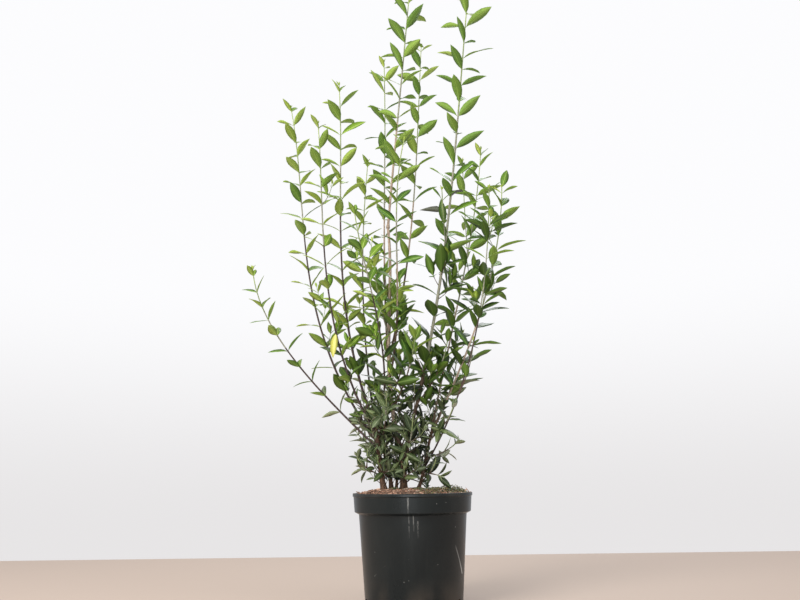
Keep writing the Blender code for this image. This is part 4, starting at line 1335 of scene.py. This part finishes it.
# From a height on: odds that a leaf's axil has a shoot, its length, distance between pairs, leaf
AXIL_LEFT = (
    (0.00, 0.90, *LOW_SIZES),
    (0.46, 0.26, (30, 70), (24, 32), (44, 62)),
    (0.66, 0.12, (34, 76), (26, 34), (50, 66)),
    (0.92, 0.00, (34, 66), (24, 32), (40, 56)),
)
AXIL_CENTRE = (
    (0.00, 0.90, *LOW_SIZES),
    (0.46, 0.26, (36, 80), (26, 34), (54, 72)),
    (0.64, 0.08, (36, 76), (26, 34), (54, 72)),
    (0.80, 0.00, (34, 66), (24, 32), (44, 60)),
)
AXIL_RIGHT = (
    (0.00, 0.95, (26, 62), (12, 16), (28, 44)),
    (0.44, 0.30, (40, 86), (28, 36), (52, 70)),
    (0.62, 0.28, (44, 88), (30, 38), (60, 78)),
    (0.84, 0.00, (40, 84), (28, 38), (48, 66)),
)
LEFT_SIDE = ("left", "far_left")
CENTRE_SIDE = ("centre", "upper", "crown", "mid_front")
# How far left and right small shoots reach at each height: the side growth is narrow low down
FINE_REACH = (
    (0.25, -134, 36),
    (0.33, -134, 44),
    (0.41, -136, 62),
    (0.46, -150, 88),
    (0.52, -190, 124),
    (0.61, -240, 172),
    (0.72, -320, 222),
    (0.90, -320, 262),
    (2.00, -320, 262),
)
# Bare limbs that carry small shoots: from, to, every, and which of the sizes below
BARE_LIMBS = (
    ("stem_left", 8, 150, 8, 0), ("stem_left_inner", 10, 185, 8, 0), ("stem_small", 8, 95, 7, 0),
    ("stem_centre", 8, 80, 7, 0), ("stem_right", 8, 140, 7, 0), ("leader", 14, 130, 9, 0),
    ("leader", 130, 290, 30, 1), ("leader", 290, 410, 15, 2), ("right_tall", 12, 170, 17, 1),
    ("right_tall", 390, 500, 26, 2), ("right_second", 8, 70, 13, 1), ("right_outer", 20, 60, 16, 1),
    ("left_front", 8, 40, 12, 0), ("left_tall", 10, 70, 12, 0), ("left_second", 10, 80, 14, 0),
    ("left_outer", 16, 88, 17, 0),
)
BARE_SIZES = (
    ((24, 66), (12, 16), (28, 44)),
    ((40, 90), (22, 30), (46, 66)),
    ((44, 84), (26, 34), (60, 78)),
)
BARE_TURN = 2.4
BARE_STRAY = (0.7, 1.3)
TIP_LEAVES = 4
TIP_LEAF_SIZES = (8 * MM, 15 * MM)
TIP_LEAF_SPREAD = (0.12, 0.42)
TIP_LEAF_ROLL = 0.2
TIP_PAIR_STEP = 1.5 * MM
END_LEAF = 54 * MM
END_LEAF_SPREAD = 0.25
END_LEAF_ROLL = math.radians(80)
BROWN_BELOW = 0.6
BLADE_MIDDLE = Vector((0, 0.55, 0))
growth = random.Random("privet finer twigs d")


def is_fine(run):
    return run.radius_low <= FINE_RADIUS


def middle_of(place):
    """The middle of a leaf's blade."""
    return place @ BLADE_MIDDLE


def in_reach(point):
    """Whether a small shoot may end there."""
    for (low, *sides_low), (high, *sides_high) in zip(FINE_REACH, FINE_REACH[1:]):
        if low <= point.z < high:
            share = share_of(point.z, low, high)
            left, right = (between(*ends, share) * MM for ends in zip(sides_low, sides_high))
            return left < point.x < right
    return False


def in_depth(point):
    """Whether that lies within the solids' own reach, front and back."""
    return solid_box[0].y + FINE_INSIDE < point.y < solid_box[1].y - FINE_INSIDE


def add_fine_twig(mass, parent, distance, azimuth, sizes, taken):
    """A small shoot that grows where its leaves find room."""
    reaches, spacings, lengths = sizes
    heading = parent.heading(distance)
    reach = growth.uniform(*reaches) * MM
    along = heading * (FINE_ALONG + FINE_ALONG_EACH * reach)
    foot = parent.point(distance)
    tip = foot + (out_at(heading, azimuth) + along + FINE_RISE).normalized() * reach
    if not in_reach(tip):
        return
    run = Run(f"{parent.name}_fine_{len(TWIGS)}", foot, tip, FINE_BOW, FINE_RADIUS, FINE_TIP)
    run.set_rings(0, TWIG_RING)
    spacing = growth.uniform(*spacings) * MM
    leaf = growth.uniform(*lengths) * MM
    bare = min(parent.radius(distance) + FINE_BARE, reach * FINE_BARE_SHARE)
    grown = []
    for at, from_tip, frames in leaf_pairs(run, bare, spacing, leaf, growth):
        inside = [place for place in frames if in_depth(place @ LEAF_END)]
        free = (place for place in inside if taken.find(middle_of(place))[2] > leaf * ROOM_SHARE)
        place = next(free, None)
        if place:
            grown.append(Leaf(mass, run, at, from_tip, place))
    if len(grown) >= 2 and in_depth(run.points[-1]):
        SPACINGS[run.name] = [leaf.distance for leaf in grown]
        TWIGS.append((mass, run))
        LEAVES.extend(grown)


taken = lookup([middle_of(leaf.place) for leaf in LEAVES])
for leaf in list(LEAVES):
    rows = AXIL_RIGHT
    if leaf.mass.startswith(LEFT_SIDE):
        rows = AXIL_LEFT
    elif leaf.mass.startswith(CENTRE_SIDE):
        rows = AXIL_CENTRE
    _, odds, *sizes = [row for row in rows if leaf.place.translation.z >= row[0]][-1]
    if leaf.from_tip < 2 or growth.random() > odds:
        continue
    outward = (middle_of(leaf.place) - leaf.run.point(leaf.distance)).normalized()
    right, forward = square_to(leaf.run.heading(leaf.distance))
    azimuth = math.atan2(outward.dot(forward), outward.dot(right)) + growth.gauss(0, FINE_TURN_STRAY)
    add_fine_twig(leaf.mass, leaf.run, leaf.distance + FINE_ROOT, azimuth, sizes, taken)

for name, first, last, step, size in BARE_LIMBS:
    taken = lookup([middle_of(leaf.place) for leaf in LEAVES])
    turn = growth.uniform(0, math.tau)
    distance = first * MM
    while distance < min(last * MM, RUNS[name].length):
        add_fine_twig(None, RUNS[name], distance, turn, BARE_SIZES[size], taken)
        turn += BARE_TURN
        distance += step * MM * growth.uniform(*BARE_STRAY)

TIP_BUDS = []
for mass, run in TWIGS:
    turn = growth.uniform(0, math.tau)
    for number in range(2 if is_fine(run) else TIP_LEAVES):
        length = growth.uniform(*TIP_LEAF_SIZES)
        spread = growth.uniform(*TIP_LEAF_SPREAD)
        azimuth = turn + number * math.pi + (number // 2) * QUARTER
        at = run.length - TIP_PAIR_STEP * (number // 2)
        roll = growth.gauss(0, TIP_LEAF_ROLL)
        place = leaf_frame(run.point(at), run.heading(at), azimuth, spread, roll, length)
        TIP_BUDS.append(Leaf(mass, run, at, 0, place))

# The end leaf of the outer right shoot has grown on and stands up
run = RUNS["right_outer"]
end = run.length
end_place = leaf_frame(run.point(end), run.heading(end), 0, END_LEAF_SPREAD, END_LEAF_ROLL, END_LEAF)
LEAVES.append(Leaf("right_outer", run, end, 1, end_place))

twigs_shape = bmesh.new()
for mass, run in TWIGS:
    low = mass is None or mass.startswith(("low", "mid")) or run.points[0].z < BROWN_BELOW
    barks = LOW_BARKS if low else HIGH_BARKS
    if run.name in RUNS:
        barks = BARKS.get(run.name, LEFT_BARKS)
    start = run.solid_to - TWIG_OVERLAP if run.solid_to < run.length else 0
    sides, every = (FINE_SIDES, FINE_RING) if is_fine(run) else (TWIG_SIDES, TWIG_RING)
    run.solid_to = run.length
    join(twigs_shape, limb_mesh(run, start, sides, every, young_bark, bark_at(run, barks)))
twigs = new_piece("twigs", twigs_shape, SHOOT_FINISHES)
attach(twigs, "root")
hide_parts(*sorted({f"foliage_{leaf.mass}" for leaf in LEAVES if leaf.mass}))


# Leaves: a privet leaf is a lance three times as long as wide on a short stalk, folded a little on
# its pale midrib, darker above and paler below. It is yellow green at the tips, bright on the left,
# darker on the right and grey green low down: the bright left and darker right are painted light
# and shade, from light falling from the left, and the darkest leaves deep in the low growth are
# painted shade. One on the left has turned yellow, two have withered.

LEAF_COLUMNS = 3
# How far along the leaf, and its half width there
LEAF_ROWS = (
    (0.00, 0.013),
    (0.06, 0.014),
    (0.12, 0.056),
    (0.24, 0.114),
    (0.40, 0.149),
    (0.57, 0.152),
    (0.74, 0.122),
    (0.87, 0.070),
    (0.95, 0.030),
    (1.00, 0.003),
)
SMALL_LEAF_ROWS = (
    (0.00, 0.016),
    (0.09, 0.018),
    (0.27, 0.120),
    (0.50, 0.158),
    (0.76, 0.112),
    (0.92, 0.044),
    (1.00, 0.003),
)
SMALL_LEAF = 22 * MM
STALK_HALF = 0.02
LEAF_TOP_ROW = 0.155
RIB_HALF = 0.018
RIB_TAPER = 0.7
RIB_MOST = 0.9
RIB_KEEL = 0.010
WAVES = 14
TWIST_FROM = 0.3
LEAF_SHAPES = 8
MARGIN_MERGE = 0.0003
UPPER, UNDER, RIB = range(3)
# The upper side, underside and midrib of each tone, as shades on paper from 0 to 255
TONES = {
    "tip": (
        ((150, 174, 62), (166, 190, 76), (186, 204, 104)),
        ((168, 188, 74), (182, 200, 92), (198, 214, 122)),
    ),
    "bright": (
        ((118, 152, 44), (152, 175, 74), (174, 194, 98)),
        ((130, 160, 48), (164, 185, 86), (184, 202, 110)),
        ((106, 144, 42), (138, 166, 70), (160, 186, 92)),
    ),
    "full": (
        ((86, 124, 38), (122, 154, 62), (144, 174, 82)),
        ((98, 134, 40), (134, 163, 68), (154, 180, 88)),
        ((76, 114, 36), (108, 142, 58), (130, 162, 74)),
    ),
    "dark": (
        ((56, 80, 26), (84, 112, 42), (102, 128, 56)),
        ((68, 94, 30), (96, 124, 46), (114, 138, 62)),
        ((48, 70, 24), (72, 98, 36), (92, 116, 50)),
    ),
    "low": (
        ((70, 86, 48), (142, 150, 114), (128, 138, 96)),
        ((104, 118, 84), (176, 182, 156), (160, 168, 138)),
        ((60, 76, 44), (126, 136, 104), (114, 124, 86)),
        ((104, 120, 74), (150, 160, 120), (154, 164, 120)),
    ),
    # Painted shade: dark tones for the leaves deep inside the low growth and towards its right
    "shade": (
        ((38, 51, 25), (78, 88, 58), (74, 84, 50)),
        ((50, 62, 32), (96, 104, 72), (90, 100, 62)),
        ((30, 42, 20), (66, 76, 48), (64, 74, 42)),
    ),
    "turning": (((204, 200, 94), (206, 204, 116), (212, 210, 132)),),
    "withered": (
        ((58, 62, 44), (96, 98, 84), (84, 82, 66)),
        ((104, 106, 92), (132, 134, 122), (120, 118, 104)),
    ),
}
# Name, roughness, gloss and relief of a leaf's three parts
LEAF_PARTS = (("upper", 0.40, 0.40, 0.035), ("under", 0.60, 0.3, 0.06), ("rib", 0.50, 0.3, 0.04))
# Fold, how far the margins turn down, droop of the tip, bow to a side, wave, twist, width
TWIST = (-0.8, 0.8)
FIRM_LEAF = ((0.18, 0.48), (0.3, 1.0), (0.08, 0.28), (-0.06, 0.06), (0.002, 0.006), TWIST, (0.98, 1.20))
BROAD_LEAF = ((0.12, 0.42), (0.3, 1.0), (0.08, 0.30), (-0.06, 0.06), (0.002, 0.007), TWIST, (1.00, 1.22))
LIMP_LEAF = ((0.12, 0.38), (0.4, 1.2), (0.14, 0.42), (-0.07, 0.07), (0.003, 0.010), TWIST, (1.10, 1.36))
DEAD_LEAF = ((0.70, 1.10), (0.6, 1.2), (0.30, 0.50), (-0.09, 0.09), (0.010, 0.020), (-1.8, 1.8), (0.80, 0.95))
HABITS = {
    "dark": BROAD_LEAF,
    "turning": BROAD_LEAF,
    "low": LIMP_LEAF,
    "shade": LIMP_LEAF,
    "withered": DEAD_LEAF,
}
# Length against the solids' leaves
LEAF_LENGTHS = {"low": 0.94, "shade": 1.0, "dark": 1.14}
CROWN_LENGTH = 1.08
LOW_BELOW = 0.46
# Painted shade: low leaves deep in the plant, more of them towards its right, take the shade tones
SHADE_REACH = 78 * MM
SHADE_MIDDLE = 6 * MM
SHADE_FRONT = -45 * MM
SHADE_TO_RIGHT = 0.65
SHADE_DEPTH = 0.8
SHADE_ODDS = 0.85
YOUNG_ABOVE = 0.7
YOUNG_ODDS = 0.35
HEIGHT_STRAY = 0.03
# The left masses take the brighter kinds and the right ones the darker: painted light on the left and painted
# shade on the right, as the light falls from the left
FRONT_MASSES = ("mid_front", "upper_front", "left_front")
DARK_MASSES = ("right", "mid", "whip")
# Below each height: the odds of the first of two kinds, or 0 where all are as likely, and the kinds
FRONT_KINDS = ((0.60, 0, "bright", "full", "dark", "dark"), (2, 0.75, "bright", "full"))
DARK_KINDS = ((0.76, 0.88, "dark", "full"), (0.90, 0.40, "dark", "full"), (1.25, 1, "full"))
DARK_KINDS += ((2, 0.4, "full", "bright"),)
LEFT_KINDS = ((0.62, 0, "full", "bright", "dark"), (2, 0.9, "bright", "full"))
CENTRE_KINDS = ((0.62, 1, "dark"), (1.35, 0.8, "full", "bright"), (2, 0.6, "bright", "full"))
TIP_KIND_ABOVE = 0.5
# One leaf has turned yellow, and two on the tall right shoot have withered
ODD_LEAVES = (
    ("turning", Vector((-0.186, -0.096, 0.626))),
    ("withered", Vector((0.072, -0.020, 0.985))),
    ("withered", Vector((0.110, -0.020, 0.970))),
)
HANGING = Vector((-0.12, -0.30, -0.95)).normalized()
HANGING_FACE = Vector((-0.25, -0.95, 0.2))
FACING_WORTH = 10 * MM
looks = random.Random("privet looks")


def blade(shape, rows, bends, keel, first_finish, uv):
    """One side of a leaf: a grid pulled to the leaf's outline row by row, folded and bent."""
    fold, curl, droop, bow, wave, twist, width = bends
    last = len(rows) - 1
    before = set(shape.faces)
    made = bmesh.ops.create_grid(shape, x_segments=LEAF_COLUMNS, y_segments=last, size=0.5)["verts"]
    faces = [face for face in shape.faces if face not in before]
    for face in faces:
        on_rib = abs(face.calc_center_median().x) < 0.5 / LEAF_COLUMNS
        face.material_index = RIB if on_rib else first_finish
        face.smooth = True
    for vertex in made:
        row = round((vertex.co.y + 0.5) * last)
        column = round((vertex.co.x + 0.5) * LEAF_COLUMNS)
        for loop in vertex.link_loops:
            loop[uv].uv = (column / LEAF_COLUMNS, row / last)
        y, half = rows[row]
        half *= width if half > STALK_HALF else 1
        rib = min(RIB_HALF * (1.1 - RIB_TAPER * y), half * RIB_MOST)
        x = (-half, -rib, rib, half)[column]
        ripple = wave * math.sin(y * WAVES + column) * abs(x) / LEAF_TOP_ROW
        lift = fold * abs(x) - curl * x * x + ripple
        turn = twist * (y - TWIST_FROM)
        under = keel if column in (1, 2) and 0 < row < last else 0
        vertex.co = (
            x * math.cos(turn) - lift * math.sin(turn) + bow * y * y,
            y,
            x * math.sin(turn) + lift * math.cos(turn) - droop * y * y - under,
        )
    return faces


def leaf_blank(rows, habit, tone, own):
    """A thin closed leaf of unit length along +Y: its upper side, its underside and its midrib."""
    bends = [own.uniform(*span) for span in habit]
    shape = bmesh.new()
    uv = shape.loops.layers.uv.new("leaf")
    upper = blade(shape, rows, bends, 0, UPPER, uv)
    for edge in {edge for face in upper for edge in face.edges if edge.is_boundary}:
        edge.smooth = False
    under = blade(shape, rows, bends, RIB_KEEL, UNDER, uv)
    bmesh.ops.reverse_faces(shape, faces=under)
    bmesh.ops.remove_doubles(shape, verts=shape.verts, dist=MARGIN_MERGE)
    for face in shape.faces:
        face.material_index += tone * len(LEAF_PARTS)
    return finished("leaf", shape)


VEIN_SLANT = 0.35
VEIN_SHARPNESS = 5.0


def veins_group():
    """The height of the fine veins that leave the midrib, from the leaf's own map."""
    group, ends, out = shader_group("leaf_veins", (("Count", "Float", 9.0),), (("Height", "Float"),))
    leaf_map = add_node(group, "UVMap", uv_map="leaf").outputs[0]
    parts = add_node(group, "SeparateXYZ", {0: leaf_map}).outputs
    aside = sums(group, "ABSOLUTE", less(group, parts["X"], 0.5))
    along = less(group, parts["Y"], times(group, aside, VEIN_SLANT))
    wave = sums(group, "SINE", times(group, along, ends["Count"], math.tau))
    raised = times(group, plus(group, wave, 1.0), 0.5)
    feed(group, out["Height"], sums(group, "POWER", raised, VEIN_SHARPNESS))
    return group


VEINS = veins_group()
LEAF_GRAIN = (900, (1, 1, 1), 2)
LEAF_GRAIN_SHARE = 0.15
VEIN_DEPTH = 0.25 * MM


def leaf_finish(name, shade, roughness, gloss, relief):
    """A leaf's skin: one plain colour, with its veins and a fine grain in relief."""
    colour = tuple(((part / 255 + 0.055) / 1.055) ** 2.4 for part in shade) + (1,)
    finish, tree, shader = plain_finish(name, colour, roughness, gloss)
    veins = add_node(tree, "Group", node_tree=VEINS).outputs["Height"]
    grain = stretched_noise(tree, object_point(tree), *LEAF_GRAIN)
    set_relief(tree, shader, plus(tree, times(tree, grain, LEAF_GRAIN_SHARE), veins), relief, VEIN_DEPTH)
    return finish


def either(odds, first, second):
    return first if looks.random() < odds else second


def kind_of(leaf):
    """Which kind a leaf is: by its age on the twig, its height and its side of the plant; its side, and its
    depth low down, paint light and shade.
    """
    height = leaf.place.translation.z + looks.gauss(0, HEIGHT_STRAY)
    mass = leaf.mass or leaf.run.name
    if mass.startswith("low") or height < LOW_BELOW:
        # Deep, covered low leaves take the painted shade tones
        middle = middle_of(leaf.place)
        deep = math.hypot(middle.x - SHADE_MIDDLE, middle.y * SHADE_DEPTH) < SHADE_REACH
        covered = middle.y + SHADE_TO_RIGHT * middle.x > SHADE_FRONT
        return either(SHADE_ODDS, "shade", "low") if deep and covered else "low"
    if leaf.from_tip == 0 and height > YOUNG_ABOVE and looks.random() < YOUNG_ODDS:
        return "tip"
    rows = CENTRE_KINDS
    if mass in FRONT_MASSES or leaf.run.name.startswith("leader"):
        rows = FRONT_KINDS
    elif mass.startswith(DARK_MASSES):
        rows = DARK_KINDS
    elif mass.startswith(LEFT_SIDE):
        rows = LEFT_KINDS
    odds, *kinds = next(row for below, *row in rows if height < below)
    if len(kinds) == 1:
        return kinds[0]
    return either(odds, *kinds) if odds else looks.choice(kinds)


def off_place(leaf, place):
    """How far a leaf is from a place, with one that faces forwards nearer."""
    facing = abs((leaf.place.to_3x3().normalized() @ Vector((0, 0, 1))).y)
    return (middle_of(leaf.place) - place).length + (1 - facing) * FACING_WORTH


by_kind = {kind: [] for kind in TONES}
for leaf in LEAVES:
    by_kind[kind_of(leaf)].append(leaf)
for bud in TIP_BUDS:
    by_kind["tip" if bud.place.translation.z > TIP_KIND_ABOVE else "low"].append(bud)

for odd_kind, place in ODD_LEAVES:
    odd_leaf = min(LEAVES, key=lambda leaf: off_place(leaf, place))
    if odd_kind == "turning":
        face = square_part(HANGING_FACE, HANGING)
        hung = turned_to(HANGING.cross(face), HANGING, face) @ Matrix.Scale(odd_leaf.place.to_scale().x, 4)
        odd_leaf.place = Matrix.Translation(odd_leaf.place.translation) @ hung
    for kind in by_kind:
        by_kind[kind] = [leaf for leaf in by_kind[kind] if leaf is not odd_leaf]
    by_kind[odd_kind].append(odd_leaf)

for kind, tones in TONES.items():
    finishes = []
    blanks = []
    habit = HABITS.get(kind, FIRM_LEAF)
    life = Matrix.Scale(LEAF_LENGTHS.get(kind, CROWN_LENGTH), 4)
    own = random.Random(f"privet leaf {kind}")
    for number, shades in enumerate(tones):
        for shade, (part, *skin) in zip(shades, LEAF_PARTS):
            finishes.append(leaf_finish(f"{kind}_leaf_{part}_{number}", shade, *skin))
        blanks.append([
            [leaf_blank(rows, habit, number, own) for _ in range(LEAF_SHAPES)]
            for rows in (LEAF_ROWS, SMALL_LEAF_ROWS)
        ])
    leaves_shape = bmesh.new()
    for leaf in by_kind[kind]:
        small = is_fine(leaf.run) or leaf.place.to_scale().x < SMALL_LEAF
        add_copy(leaves_shape, looks.choice(looks.choice(blanks)[small]), leaf.place @ life)
    piece = new_piece(f"leaves_{kind}", leaves_shape, finishes, smooth=False)
    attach(piece, "root")
    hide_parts(*sorted({f"foliage_{leaf.mass}" for leaf in by_kind[kind] if leaf.mass}))
